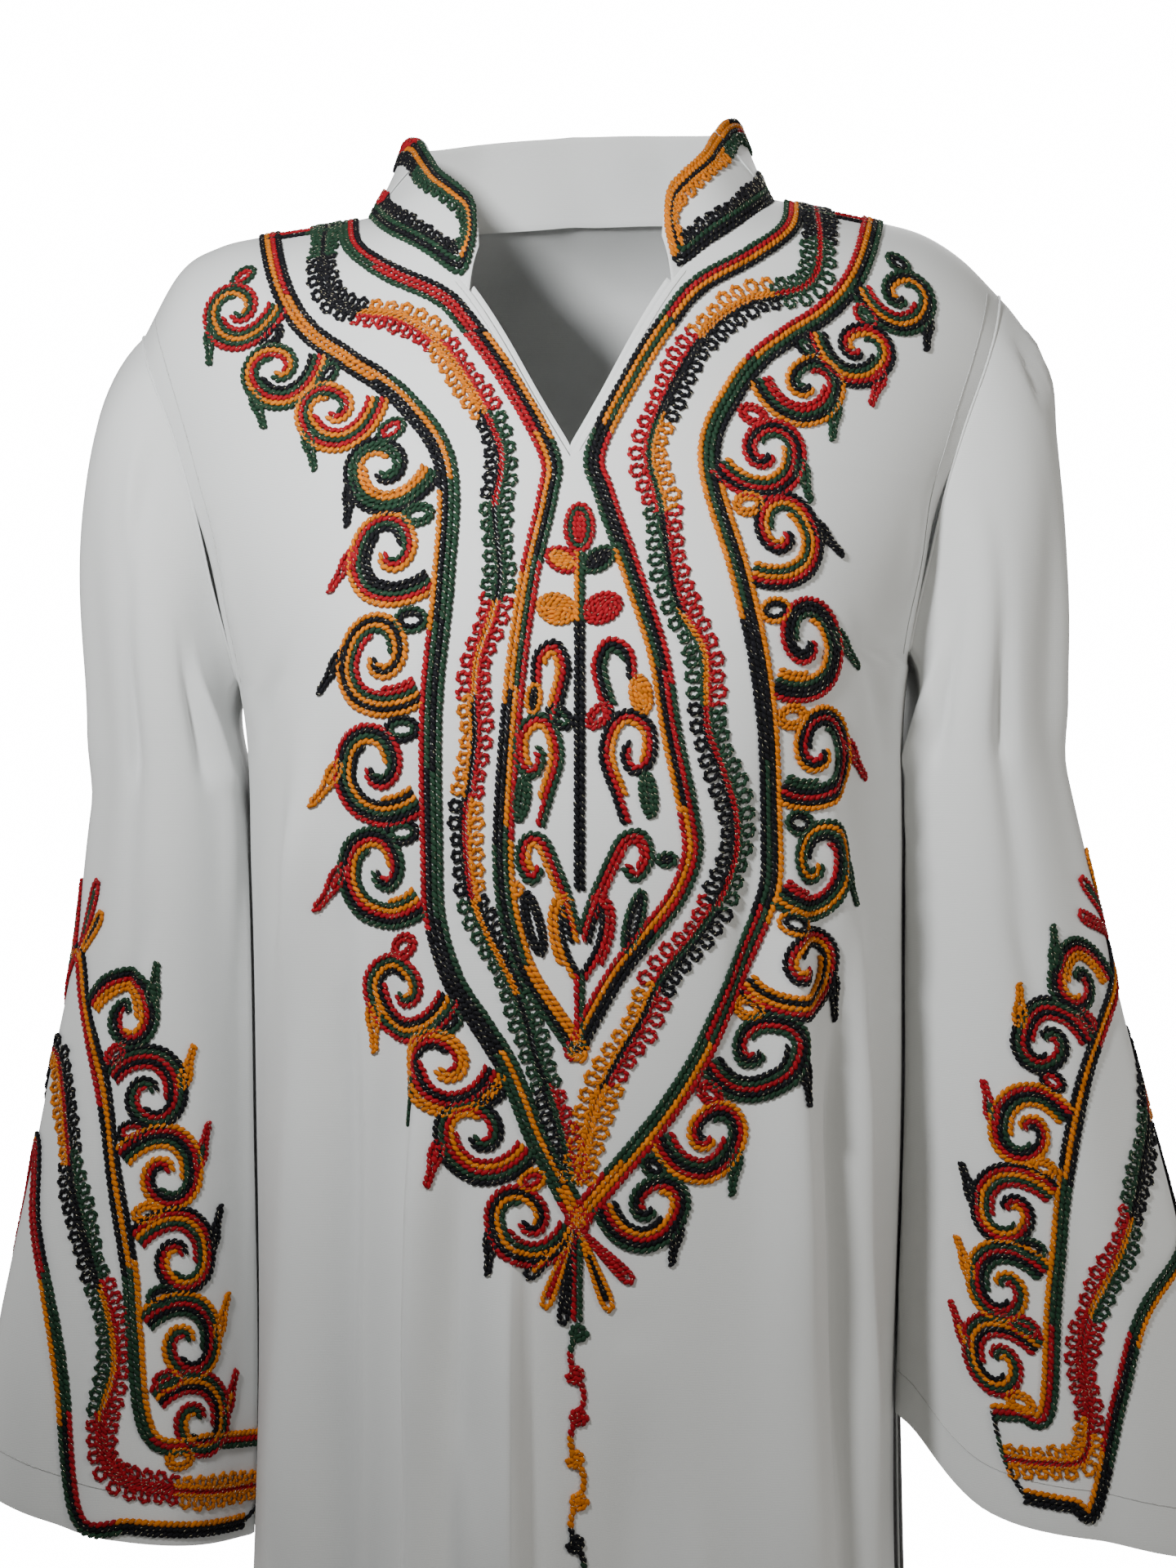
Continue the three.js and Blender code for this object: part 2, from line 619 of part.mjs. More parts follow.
// The spot that lies a number of mm away across and down the cloth.
function beside(place, [u, v], across, down) {
  const here = place(u, v).point;
  const across1 = place(u + 0.01, v).point.distanceTo(here) / 0.01;
  const down1 = place(u, v + 0.01).point.distanceTo(here) / 0.01;
  return [u + across / Math.max(0.5, across1), v + down / Math.max(0.5, down1)];
}

// How far apart two spots are, across and down.
function apart(place, from, to) {
  const corner = place(to[0], from[1]).point;
  const across = corner.distanceTo(place(...from).point) * Math.sign(to[0] - from[0]);
  const down = corner.distanceTo(place(...to).point) * Math.sign(to[1] - from[1]);
  return new THREE.Vector2(across, down);
}

// The flat outline of a band along spots of the cloth. widths is one number or one for each spot.
function band(place, spots, widths) {
  const last = spots.length - 1;
  const edges = spots.map((spot, i) => {
    const into = apart(place, spots[Math.max(0, i - 1)], spot).normalize();
    const from = apart(place, spot, spots[Math.min(last, i + 1)]).normalize();
    const way = into.clone().add(from).normalize();
    const half = (widths[i] ?? widths) / 2 / Math.max(0.75, way.dot(i > 0 ? into : from));
    return [-1, 1].map((side) => beside(place, spot, -way.y * side * half, way.x * side * half));
  });
  return [...edges.map(([left]) => left), ...edges.map(([, right]) => right).reverse()];
}

// Flat outlines joined into one, cut where the facets of the cloth meet, and raised off them.
function raised(place, outlines, across, down, clear = CORD_CLEAR) {
  const shapes = outlines.map((outline) => new wasm.CrossSection([outline], "NonZero"));
  const whole = wasm.CrossSection.union(shapes);
  const { min, max } = whole.bounds();
  const cuts = (list, axis) => {
    const inside = list.filter((at) => at > min[axis] && at < max[axis]);
    return [min[axis] - 1, ...inside, max[axis] + 1];
  };
  const spots = [];
  const faces = [];
  const known = new Map();
  const index = ([u, v]) => {
    const key = Math.round(u * 500) + "," + Math.round(v * 500);
    if (!known.has(key)) known.set(key, spots.push([u, v]) - 1);
    return known.get(key);
  };
  const [columns, rows] = [cuts(across, 0), cuts(down, 1)];
  for (let r = 0; r + 1 < rows.length; r++)
    for (let c = 0; c + 1 < columns.length; c++) {
      const [u0, u1, v0, v1] = [columns[c], columns[c + 1], rows[r], rows[r + 1]];
      const cell = new wasm.CrossSection([[[u0, v0], [u1, v0], [u1, v1], [u0, v1]]]);
      const pieces = whole.intersect(cell).toPolygons();
      if (!pieces.length) continue;
      const ids = pieces.flat().map(index);
      for (const tri of wasm.triangulate(pieces)) {
        const face = tri.map((i) => ids[i]);
        if (new Set(face).size === 3) faces.push(face);
      }
    }
  const laid = spots.map((spot) => place(...spot));
  const level = (height) => laid.map(({ point, normal }) => point.clone().addScaledVector(normal, height));
  return closed(level(clear + CORD_RISE), level(clear), faces);
}

// A closed solid with its faces turned outwards.
function turnedOut(geometry) {
  const at = geometry.attributes.position;
  const index = geometry.index.array;
  let volume = 0;
  for (let i = 0; i < index.length; i += 3) {
    const [a, b, c] = [0, 1, 2].map((k) => new THREE.Vector3().fromBufferAttribute(at, index[i + k]));
    volume += a.dot(b.cross(c));
  }
  for (let i = 0; volume < 0 && i < index.length; i += 3) [index[i], index[i + 1]] = [index[i + 1], index[i]];
  return geometry;
}

// The spot a number of mm along a run, and the direction of the run there.
function spotAlong(place, spots, distance) {
  let left = distance;
  for (let i = 0; i + 1 < spots.length; i++) {
    const way = apart(place, spots[i], spots[i + 1]);
    if (left <= way.length() || i + 2 === spots.length) {
      const share = left / way.length();
      return { spot: spots[i].map((v, axis) => v + (spots[i + 1][axis] - v) * share), way: way.normalize() };
    }
    left -= way.length();
  }
}

// One scroll growing out of a run. hand is the side of the run, and turn is -1 where it curls downwards.
function scroll(place, { spot, way }, hand, turn, size, strokes = [SCROLL, SCROLL_LEAF]) {
  const out = new THREE.Vector2(way.y, -way.x).multiplyScalar(hand);
  return strokes.map((rows) => {
    const spots = rows.map((row) => {
      const shift = out.clone().multiplyScalar(row.out * size).addScaledVector(way, -turn * row.up * size);
      return beside(place, spot, shift.x, shift.y);
    });
    return band(place, spots, rows.map((row) => row.width * size));
  });
}

function chestCord() {
  const run = (rows, side) => rows.map((row) => [side > 0 ? row.left : -row.right, row.drop]);
  const bands = [1, -1].flatMap((side) => {
    const border = run(CHEST_BORDER, side);
    return [
      band(onFront, border, BORDER_WIDTH),
      band(onFront, run(CHEST_SECOND, side), SECOND_WIDTH),
      band(onFront, run(CHEST_WAVE, side), WAVE_WIDTH),
      band(onFront, run(CHEST_CLOSING, side), CLOSING_WIDTH),
      ...CHEST_SCROLLS.flatMap(({ at, size }) =>
        scroll(onFront, spotAlong(onFront, border, at), side, 1, size, [SCROLL, SCROLL_LOOP, SCROLL_LEAF]),
      ),
    ];
  });
  const fan = CHEST_FAN.map((rows) => band(onFront, rows, [3, 8, 3]));
  const middle = CHEST_MIDDLE.map((rows) => band(onFront, rows, 10));
  const chain = band(onFront, CHEST_CHAIN, CHAIN_WIDTH);
  return raised(onFront, [...bands, ...fan, ...middle, chain], CHEST_CUTS, BODY_DROPS);
}

function plantCord() {
  const strokes = PLANT.flatMap(({ width, rows, both }) =>
    (both ? [1, -1] : [1]).map((side) =>
      band(onFront, rows.map(([out, drop]) => [PLANT_CENTRE + side * out, drop]), width),
    ),
  );
  return raised(onFront, strokes, [0], BODY_DROPS);
}

function sleeveCord(grid, sign) {
  const place = onSleeve(grid);
  const name = sign < 0 ? "right" : "left";
  const middle = SLEEVE_BORDER[0][name];
  const run = (rows, side) => rows.map((row) => [middle + side * (row[name] - middle), row.drop]);
  const bands = [1, -1].flatMap((side) => {
    const border = run(SLEEVE_BORDER, side);
    const ends = [SLEEVE_BORDER, SLEEVE_SECOND].map((rows) => run(rows, side)[rows.length - 1]);
    return [
      band(place, border, BORDER_WIDTH * SLEEVE_SIZE),
      band(place, run(SLEEVE_SECOND, side), SECOND_WIDTH * SLEEVE_SIZE),
      band(place, run(SLEEVE_WAVE, side), WAVE_WIDTH),
      band(place, ends, CLOSING_WIDTH),
      ...SLEEVE_SCROLLS.flatMap((at) => scroll(place, spotAlong(place, border, at), side, -1, SLEEVE_SIZE)),
    ];
  });
  const { drop } = SLEEVE_BORDER[0];
  const peak = [-7, 7].map((lean) => band(place, [[middle, drop + 4], [middle + lean, drop - 28]], [4, 8]));
  const column = 360 / SLEEVE_COLUMNS;
  const columns = Array.from({ length: SLEEVE_COLUMNS * 2 }, (_, i) => i * column - 180);
  return raised(place, [...bands, ...peak], columns, grid.drops);
}

function collarCord() {
  const columns = Array.from({ length: COLLAR_STEPS - 1 }, (_, i) => i + 1);
  const [first, last] = [0.35, COLLAR_STEPS - 0.35];
  const around = [first, ...columns, last];
  const bands = [0.13, 0.87].map((up) => band(onCollar, around.map((c) => [c, up]), COLLAR_CORD_WIDTH));
  const upright = (c) => band(onCollar, [[c, 0.13], [c, 0.87]], COLLAR_CORD_WIDTH);
  const ends = [first + 0.2, last - 0.2].map(upright);
  return raised(onCollar, [...bands, ...ends], columns, [0.5], COLLAR_CLEAR);
}

// The facing follows the neck edge inside the front, from the collar down to the foot of the slit.
function facing() {
  const rows = [1, -1].flatMap((sign) => {
    const drops = BODY_DROPS.filter((drop) => drop >= 66 && drop < SLIT_DROP);
    const run = [...drops, SLIT_DROP + 1].map((drop) => {
      const edge = Math.max(0, along(NECK_FRONT, "at", drop));
      return [-3, 5, 13].map((more) => {
        const x = Math.max(0, edge + more * 0.8);
        const at = bodyPoint(-1, sign * x, drop + more * 0.55);
        return at.add(new THREE.Vector3(0, CLOTH + 1.1, 0));
      });
    });
    return sign > 0 ? run : run.reverse().slice(1);
  });
  return wall(skin([{ rows, flip: false }]), 1);
}

// Materials
const crepe = new THREE.MeshStandardMaterial({ color: 0xf2f3f1, roughness: 0.62, metalness: 0 });
const cord = new THREE.MeshStandardMaterial({ color: 0x2f4a34, roughness: 0.7, metalness: 0.05 });

const abaya = new THREE.Group();
function add(name, geometry, material) {
  const mesh = new THREE.Mesh(geometry, material);
  mesh.name = name;
  abaya.add(mesh);
}
add("front", wall(front.made), crepe);
add("back", wall(back.made), crepe);
for (const [name, sign] of [["right", -1], ["left", 1]]) {
  const grid = { ...sleeve(sign), flip: sign > 0 };
  grid.made = skin([{ rows: grid.rows, closed: true, flip: grid.flip }]);
  add("sleeve_" + name, wall(grid.made), crepe);
  add("cord_sleeve_" + name, sleeveCord(grid, sign), cord);
}
const collarGrid = { rows: collarRows, flip: false, made: skin([{ rows: collarRows, flip: false }]) };
add("collar", wall(collarGrid.made), crepe);
add("neck_facing", facing(), crepe);
add("cord_chest", chestCord(), cord);
add("cord_plant", plantCord(), cord);
add("cord_collar", collarCord(), cord);

export default abaya;
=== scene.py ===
import math

import bpy
import numpy as np
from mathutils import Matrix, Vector


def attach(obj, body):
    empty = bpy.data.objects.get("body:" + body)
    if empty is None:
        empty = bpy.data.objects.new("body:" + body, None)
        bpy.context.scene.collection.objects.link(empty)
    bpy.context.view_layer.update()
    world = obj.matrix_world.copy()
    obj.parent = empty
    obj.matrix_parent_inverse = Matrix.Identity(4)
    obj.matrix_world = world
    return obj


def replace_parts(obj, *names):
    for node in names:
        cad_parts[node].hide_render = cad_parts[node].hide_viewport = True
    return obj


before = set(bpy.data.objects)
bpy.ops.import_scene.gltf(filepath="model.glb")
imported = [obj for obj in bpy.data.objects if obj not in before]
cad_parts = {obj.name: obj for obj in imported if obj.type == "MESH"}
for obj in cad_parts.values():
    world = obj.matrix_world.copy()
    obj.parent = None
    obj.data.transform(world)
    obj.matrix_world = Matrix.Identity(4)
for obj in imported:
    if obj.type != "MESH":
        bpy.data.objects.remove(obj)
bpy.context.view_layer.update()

# The finish of a long embroidered abaya: thin crepe panels on the forms of the solids, the sewing, and the
# couched cord laid stitch by stitch. Sizes are in mm and become metres where a mesh is made. +X is the
# wearer's left, -Y is out of the chest and +Z is up.
MM = 0.001
rng = np.random.default_rng(11)


def table(columns, numbers):
    """A short table with named columns. Its rows follow one another."""
    names = columns.split()
    return dict(zip(names, np.array(numbers.split(), float).reshape(-1, len(names)).T))


# ---- The cut of the cloth: the solids', with the sleeves closer to the sides ----
SEAM = 0.3
BESIDE = 1.7  # gap between a sleeve and the side it hangs against
LENGTH = 1400
NECK_HALF = 103
SHOULDER_HALF = 221
ARMPIT_DROP = 245
SLIT_DROP = 148
SHOULDER_ROLL = 45
LEAN = 0.045
FLATNESS = 0.86
NECK_BACK_DROP = 11
SLEEVE_TOP = 300  # drop where the sleeve's cap ends and its tube begins
HEM_LIFT_START = 440
BUST_SWELL, BUST_OUT, BUST_DROP = 9, 95, 250  # how far the bust fills the front, and where
LAP_SINK = 8  # how far the front sinks in below the waist
INNER_CREASE = 9  # most that creases draw in the side of a sleeve that faces the body
INNER_BLUNTNESS = 0.65  # how blunt the back of that side is: 1 is round
COLLAR_FOOT_DROP = 2.2
LEAST_SCALE = 0.4  # mm of cloth to a unit across or down, at its least

BODY = table("drop right left front back", """
    0 238 238 62 66
    60 233 233 86 90
    110 216 216 104 102
    180 192 192 124 108
    250 168 172 134 106
    340 164 170 138 104
    460 162 170 136 108
    620 162 171 137 120
    800 171 177 146 136
    1100 201 204 172 164
    1400 232 234 202 194
""")
SHOULDER = table("out right left", f"""
    0 16 16  50 12 12  {NECK_HALF} 0 0  159 -7 -14  181 -11 -21  201 -22 -34  221 -55 -54
""")
NECK_FRONT = table("drop at", f"""
    0 {NECK_HALF}  8 101  22 91  38 75  52 60  66 49  90 34  120 17  {SLIT_DROP} 0
""")
ARMHOLE_FRONT = table("drop at", f"""
    0 {SHOULDER_HALF}  67 207  112 196  154 186  190 179  222 172  {ARMPIT_DROP} 168
""")
ARMHOLE_BACK = table("drop at", f"""
    0 {SHOULDER_HALF}  60 212  120 203  180 187  222 172  {ARMPIT_DROP} 168
""")
FRONT_FOLDS = table("angle half height start tuck", """
    -57 16 15 250 0.1
    -17 11 15 330 0.16
    17 11 7 760 0
    43 13 15 270 0.12
    66 9 10 420 0
""")
BACK_FOLDS = table("angle half height start tuck", """
    -64 13 13 300 0.1
    -36 11 14 260 0.15
    -8 12 15 330 0.1
    22 12 13 280 0.15
    52 13 14 300 0.1
""")
RIGHT_SLEEVE = table("drop inner outer front back", """
    300 165 243 60 48
    380 162 253 62 50
    460 160 269 64 52
    540 159 287 68 55
    620 159 301 74 58
    680 159 307 79 62
""")
LEFT_SLEEVE = table("drop inner outer front back", """
    300 163 253 62 50
    380 163 274 64 51
    460 163 297 67 53
    540 163 318 71 57
    620 164 335 77 61
    688 165 343 82 65
""")
SLEEVE_HEM = table("degrees right left", """
    0 652 686  45 648 678  85 661 665  125 671 653  160 676 618  200 678 618  260 674 660
    315 660 684  360 652 686
""")
SLEEVE_FOLDS = table("angle half height start tuck", """
    62 26 7 330 0
    150 30 9 300 0
    222 24 8 360 0
    300 26 8 330 0
""")
COLLAR = table("from_end height lean", """
    0 25 0.4  6 33 0.42  20 41 0.48  60 46 0.62  105 48 0.62  150 47 0.28  210 46 0.08
""")
COLLAR_COLUMNS = 30

# Creases that the solids leave out: a ridge or a trough from one spot to another, its height, how far its
# two sides reach, how much it bows, and whether it runs on to the hem instead of fading out.
FRONT_CREASES = table("u0 v0 u1 v1 height before after bow runs_on", """
    -122 232 -140 1400 3.2 15 17 0 1
    -107 320 -110 1400 -3.0 12 11 0 1
    -69 392 -74 1400 5.0 5 24 3 1
    -50 440 -53 1400 -2.6 12 9 0 1
    -27 470 -27 1400 5.0 20 5 2 1
    30 560 44 1400 -3.0 26 30 0 1
    101 300 112 1400 3.4 15 13 0 1
    125 372 128 1400 -3.6 9 8 0 1
    136 340 144 1400 3.2 8 9 0 1
    17 549 50 545 -0.9 3 3 1 0
    -112 240 -151 455 1.8 10 12 6 0
    -96 262 -84 520 -1.7 11 11 4 0
    -126 216 -160 300 -1.5 7 8 -5 0
    110 246 150 440 1.8 11 10 -6 0
    92 268 82 500 -1.4 11 11 -4 0
    128 214 160 310 -1.5 8 7 5 0
    188 128 163 262 -2.2 8 7 4 0
    176 150 150 300 1.6 9 9 5 0
    -186 132 -160 268 -2.0 8 8 -4 0
    -172 160 -148 300 1.4 9 9 -5 0
    70 60 128 128 0.9 8 9 4 0
    -70 60 -128 124 0.9 9 8 -4 0
    -58 560 -40 700 1.1 9 8 3 0
    60 620 74 800 1.3 12 12 -4 0
""")
BACK_CREASES = table("u0 v0 u1 v1 height before after bow runs_on", """
    -100 230 -112 1400 3.0 14 18 0 1
    -62 300 -66 1400 -3.2 12 12 0 1
    -30 330 -36 1400 4.0 8 22 3 1
    6 420 8 1400 -3.0 13 13 0 1
    42 300 50 1400 4.2 20 7 -2 1
    88 280 96 1400 -3.0 12 12 0 1
    120 330 134 1400 3.2 12 14 0 1
    -150 150 -70 250 -1.6 12 12 6 0
    150 150 74 246 -1.6 12 12 -6 0
    -176 170 -140 330 1.6 10 10 5 0
    176 170 142 336 1.6 10 10 -5 0
    -40 70 -10 190 1.0 16 16 3 0
    44 78 16 196 1.0 16 16 -3 0
""")
# On a sleeve u is mm round from the outer side, by the front, at a girth of SLEEVE_GIRTH.
SLEEVE_GIRTH = 430
BODY_CREASING = 2.5
SLEEVE_CREASING = 1.6
RIGHT_SLEEVE_CREASES = table("u0 v0 u1 v1 height before after bow runs_on", """
    26 120 52 700 3.0 16 20 -6 1
    78 160 92 700 -2.2 14 12 4 1
    150 100 172 420 2.6 9 14 7 0
    136 118 150 330 -2.4 9 8 5 0
    190 300 196 700 3.4 12 14 0 1
    232 260 246 700 -2.6 12 14 0 1
    290 200 300 700 3.0 14 16 5 1
    350 220 362 700 -2.2 16 14 0 1
    60 66 84 170 1.5 9 9 4 0
    10 60 16 210 -1.3 8 9 2 0
    108 330 70 430 -1.4 9 10 6 0
    330 340 372 440 -1.4 9 10 6 0
""")
LEFT_SLEEVE_CREASES = table("u0 v0 u1 v1 height before after bow runs_on", """
    30 130 58 700 3.0 18 18 -6 1
    92 170 100 700 -2.4 14 12 4 1
    152 96 176 400 2.6 10 14 7 0
    134 110 150 320 -2.6 8 8 5 0
    196 290 200 700 3.4 12 12 0 1
    238 250 250 700 -2.8 12 14 0 1
    296 210 304 700 3.0 14 16 5 1
    356 230 366 700 -2.2 16 14 0 1
    2 62 8 128 -2.6 4 5 1 0
    12 62 22 140 2.2 5 6 2 0
    26 64 38 120 -1.6 5 5 2 0
    -10 62 -12 118 1.8 5 5 0 0
    110 340 76 440 -1.4 9 10 6 0
    330 330 376 430 -1.4 9 10 6 0
""")


# ---- Small maths ----
def ease(start, end, x):
    t = np.clip((x - start) / (end - start), 0, 1)
    return t * t * (3 - 2 * t)


def along(rows, column, at, key="drop"):
    """A smooth value from a table: cubic pieces through its rows."""
    xs, ys = rows[key], rows[column]
    slopes = np.empty(len(xs))
    slopes[1:-1] = (ys[2:] - ys[:-2]) / (xs[2:] - xs[:-2])
    slopes[[0, -1]] = (ys[1] - ys[0]) / (xs[1] - xs[0]), (ys[-1] - ys[-2]) / (xs[-1] - xs[-2])
    at = np.clip(at, xs[0], xs[-1])
    i = np.clip(np.searchsorted(xs, at, side="right") - 1, 0, len(xs) - 2)
    span = xs[i + 1] - xs[i]
    t = (at - xs[i]) / span
    first = (2 * t**3 - 3 * t * t + 1) * ys[i] + (t**3 - 2 * t * t + t) * span * slopes[i]
    return first + (3 * t * t - 2 * t**3) * ys[i + 1] + (t**3 - t * t) * span * slopes[i + 1]


def by_side(rows, x, at, key="drop"):
    return np.where(x < 0, along(rows, "right", at, key), along(rows, "left", at, key))


def unit(vectors):
    return vectors / np.maximum(np.linalg.norm(vectors, axis=-1, keepdims=True), 1e-9)


def runs(points):
    """The length of a line up to each of its points."""
    return np.append(0, np.cumsum(np.linalg.norm(np.diff(points, axis=0), axis=1)))


def sample(at, run, line):
    """Points of a line at lengths along it."""
    return np.stack([np.interp(at, run, column) for column in line.T], -1)


def left_of(way):
    """Each direction turned a quarter, across and down."""
    return np.stack([-way[:, 1], way[:, 0]], -1)


def smooth(points, steps=10, closed=False):
    """A smooth line through points, finely stepped."""
    p = np.asarray(points, float)
    if len(p) < 3 and not closed:
        return p[0] + np.linspace(0, 1, steps + 1)[:, None] * (p[-1] - p[0])
    ends = (p[-1], p[:2]) if closed else (2 * p[0] - p[1], 2 * p[-1] - p[-2])
    q = np.vstack([ends[0], p, ends[1]])
    t = (np.arange(steps) / steps)[:, None]
    curves = []
    for a, b, c, d in zip(q[:-3], q[1:-2], q[2:-1], q[3:]):
        bend, swing = 2 * a - 5 * b + 4 * c - d, 3 * b - a - 3 * c + d
        curves.append(0.5 * (2 * b + (c - a) * t + bend * t**2 + swing * t**3))
    return np.vstack([*curves, q[-2:-1]])


# ---- The forms of the cloth ----
# A side is -1 for the wearer's right and 1 for the left. A face is -1 for the front and 1 for the back.
SIDE = {-1: "right", 1: "left"}
FACE = {-1: "front", 1: "back"}
SLEEVE_CUT = {-1: RIGHT_SLEEVE, 1: LEFT_SLEEVE}
ARMHOLE = {-1: ARMHOLE_FRONT, 1: ARMHOLE_BACK}
FOLDS = {-1: FRONT_FOLDS, 1: BACK_FOLDS}
CREASES = {-1: FRONT_CREASES, 1: BACK_CREASES}
SLEEVE_CREASES = {-1: RIGHT_SLEEVE_CREASES, 1: LEFT_SLEEVE_CREASES}


def crease_shift(creases, u, v):
    """How far the creases move the cloth out at each spot."""
    shift = np.zeros(np.broadcast(u, v).shape)
    rows = [dict(zip(creases, row)) for row in zip(*creases.values())]
    for c in rows:
        du, dv = c["u1"] - c["u0"], c["v1"] - c["v0"]
        length = math.hypot(du, dv)
        t = ((u - c["u0"]) * du + (v - c["v0"]) * dv) / length**2
        bow = c["bow"] * np.sin(np.pi * np.clip(t, 0, 1))
        side = ((u - c["u0"]) * dv - (v - c["v0"]) * du) / length - bow
        reach = np.where(side < 0, c["before"], c["after"]) * (0.75 + 0.5 * np.clip(t, 0, 1))
        fade_in = min(0.45, 110 / length)
        along_it = ease(0, fade_in, t) * (1 if c["runs_on"] else 1 - ease(1 - fade_in, 1, t))
        wander = 1 + 0.18 * np.sin(v / 61 + c["u0"]) + 0.1 * np.sin(v / 23 + c["v0"])
        shift = shift + c["height"] * wander * along_it * np.exp(-((side / reach) ** 2) * 1.6)
    return shift


def fold_shift(folds, degrees, drop):
    """How far a set of standing folds moves the cloth out, and sideways in degrees."""
    out = aside = 0.0
    for angle, half, height, start, tuck in zip(*folds.values()):
        t = (degrees - angle) / (half * 1.6)
        grown = ease(start, start + 420, drop) * 0.6 + 0.4 * ease(start, LENGTH, drop)
        near = np.abs(t) < 1
        out = out + near * height * grown * (0.5 + 0.5 * np.cos(np.pi * t))
        aside = aside + near * tuck * half * grown * np.sin(np.pi * t)
    return out, aside


def leaning(x, z):
    return z + LEAN * x * ease(-480, -200, z)


def body_point(face, x, drop, creased=True):
    """Points of the body cloth."""
    x, drop = np.broadcast_arrays(np.asarray(x, float), np.asarray(drop, float))
    half = by_side(BODY, x, drop)
    depth = along(BODY, FACE[face], drop)
    roll = np.sqrt(1 - np.clip(1 - drop / SHOULDER_ROLL, 0, 1) ** 2)
    angle = np.arcsin(np.clip(x / half, -1, 1))
    out, aside = fold_shift(FOLDS[face], np.degrees(angle), drop)
    seen = angle + np.radians(aside)
    if face < 0:
        from_bust = ((np.abs(x) - BUST_OUT) / 48) ** 2 + ((drop - BUST_DROP) / 75) ** 2
        out = out + BUST_SWELL * np.exp(-from_bust)
        sunk = np.cos(angle * 2.4) ** 2 * (0.4 + 0.6 * ease(-14, 14, x))
        out = out - ease(420, 700, drop) * LAP_SINK * sunk
    if creased:
        from_edge = ease(0, 30, drop) * ease(0, 0.12, 1 - np.abs(x) / half)
        out = out + BODY_CREASING * from_edge * crease_shift(CREASES[face], x, drop)
    px = half * np.sin(seen) + out * np.sin(angle)
    curve = depth * roll * np.abs(np.cos(seen)) ** FLATNESS
    py = face * (curve + out * np.cos(angle) + SEAM / 2)
    fall = by_side(SHOULDER, px, np.abs(px), "out") * (1 - ease(0, 235, drop))
    return np.stack([px, py, leaning(px, fall - drop)], -1)


def body_spots(face, side, levels, columns):
    """Spots of one side of a panel: rows down the levels, columns from the inner edge out."""
    half = along(BODY, SIDE[side], levels)
    inner = np.where(levels < SLIT_DROP, along(NECK_FRONT, "at", levels), 0) if face < 0 else 0 * levels
    armhole = along(ARMHOLE[face], "at", levels)
    start = np.arcsin(np.clip(inner / half, 0, 1))
    end = np.where(levels < ARMPIT_DROP, np.arcsin(np.clip(armhole / half, 0, 1)), np.pi / 2)
    share = np.linspace(0, 1, columns + 1)[None, :]
    x = half[:, None] * np.sin(start[:, None] + (end - start)[:, None] * share)
    drop = np.repeat(levels[:, None], columns + 1, 1)
    if face > 0:
        neck = NECK_BACK_DROP * np.sqrt(np.clip(1 - (x / NECK_HALF) ** 2, 0, 1))
        drop = drop + neck * np.clip(1 - drop / 60, 0, 1)
    return side * x, drop


def body_side(side, y, drop):
    """How far out the side of the body reaches at each depth y and level."""
    y, drop = np.broadcast_arrays(y, drop)
    half = along(BODY, SIDE[side], drop)
    reach = np.zeros(y.shape)
    for face in (-1, 1):
        fan = np.sin(np.radians(25 + 5 * np.arange(14)))
        ring = body_point(face, side * half[..., None] * fan, drop[..., None], creased=False)
        xs, ys = np.abs(ring[..., 0]), -np.abs(ring[..., 1])
        here = xs[..., 0]
        for k in range(13):
            t = np.clip((-np.abs(y) - ys[..., k]) / np.maximum(ys[..., k + 1] - ys[..., k], 1e-6), 0, 1)
            here = np.where(-np.abs(y) > ys[..., k], xs[..., k] + (xs[..., k + 1] - xs[..., k]) * t, here)
        reach = np.where((y < 0) == (face < 0), here, reach)
    return reach


def sleeve_point(side, degrees, drop, creased=True):
    """Points of a sleeve's tube. 0 degrees is the outer side and 90 the front."""
    rows = SLEEVE_CUT[side]
    degrees, drop = np.broadcast_arrays(np.asarray(degrees, float), np.asarray(drop, float))
    turn = degrees % 360
    angle = np.radians(turn)
    inner, outer, front, back = (along(rows, c, drop) for c in ("inner", "outer", "front", "back"))
    out, _ = fold_shift(SLEEVE_FOLDS, turn, drop)
    extra = sleeve_creases(side, turn, drop) if creased else 0
    extra = np.maximum(extra, -INNER_CREASE * ease(-0.95, -0.3, np.cos(angle)))
    half = (outer - inner) / 2 + out * 0.6 - 3 * np.clip((drop - SLEEVE_TOP) / 380, 0, 1)
    across = np.cos(angle)
    across = np.where((across < 0) & (turn > 180), -(np.abs(across) ** INNER_BLUNTNESS), across)
    x = (inner + outer) / 2 + (half + extra) * across
    ahead = np.sin(angle) > 0
    y = np.where(ahead, -front - out - extra, back + out + extra) * np.abs(np.sin(angle))
    full = rows["drop"][-1]
    lift = full - along(SLEEVE_HEM, SIDE[side], turn, "degrees")
    level = drop - lift * ease(HEM_LIFT_START, full, drop)
    x = np.maximum(x, body_side(side, y, level) + BESIDE)
    return np.stack([side * x, y, leaning(side * x, -level)], -1)


def sleeve_creases(side, turn, drop):
    u = turn * SLEEVE_GIRTH / 360
    rounds = (crease_shift(SLEEVE_CREASES[side], u + wrap, drop) for wrap in (0, -SLEEVE_GIRTH))
    return SLEEVE_CREASING * sum(rounds)


def edge_ring(side, count):
    """The armhole edge, spaced evenly, from the shoulder down the front and up the back."""
    levels = np.append(shoulder_levels(), np.linspace(SHOULDER_ROLL + 8, ARMPIT_DROP, 26))
    x, drop = body_spots(-1, side, levels, 1)
    down = body_point(-1, x[:, -1], drop[:, -1], creased=False)
    x, drop = body_spots(1, side, levels, 1)
    up = body_point(1, x[:, -1], drop[:, -1], creased=False)[::-1]
    ring = np.vstack([down, up[:-1], down[:1]])
    return respaced(ring, np.arange(count) / count)


def respaced(line, shares):
    """Points at shares of the length of a line."""
    run = runs(line)
    return sample(shares * run[-1], run, line)


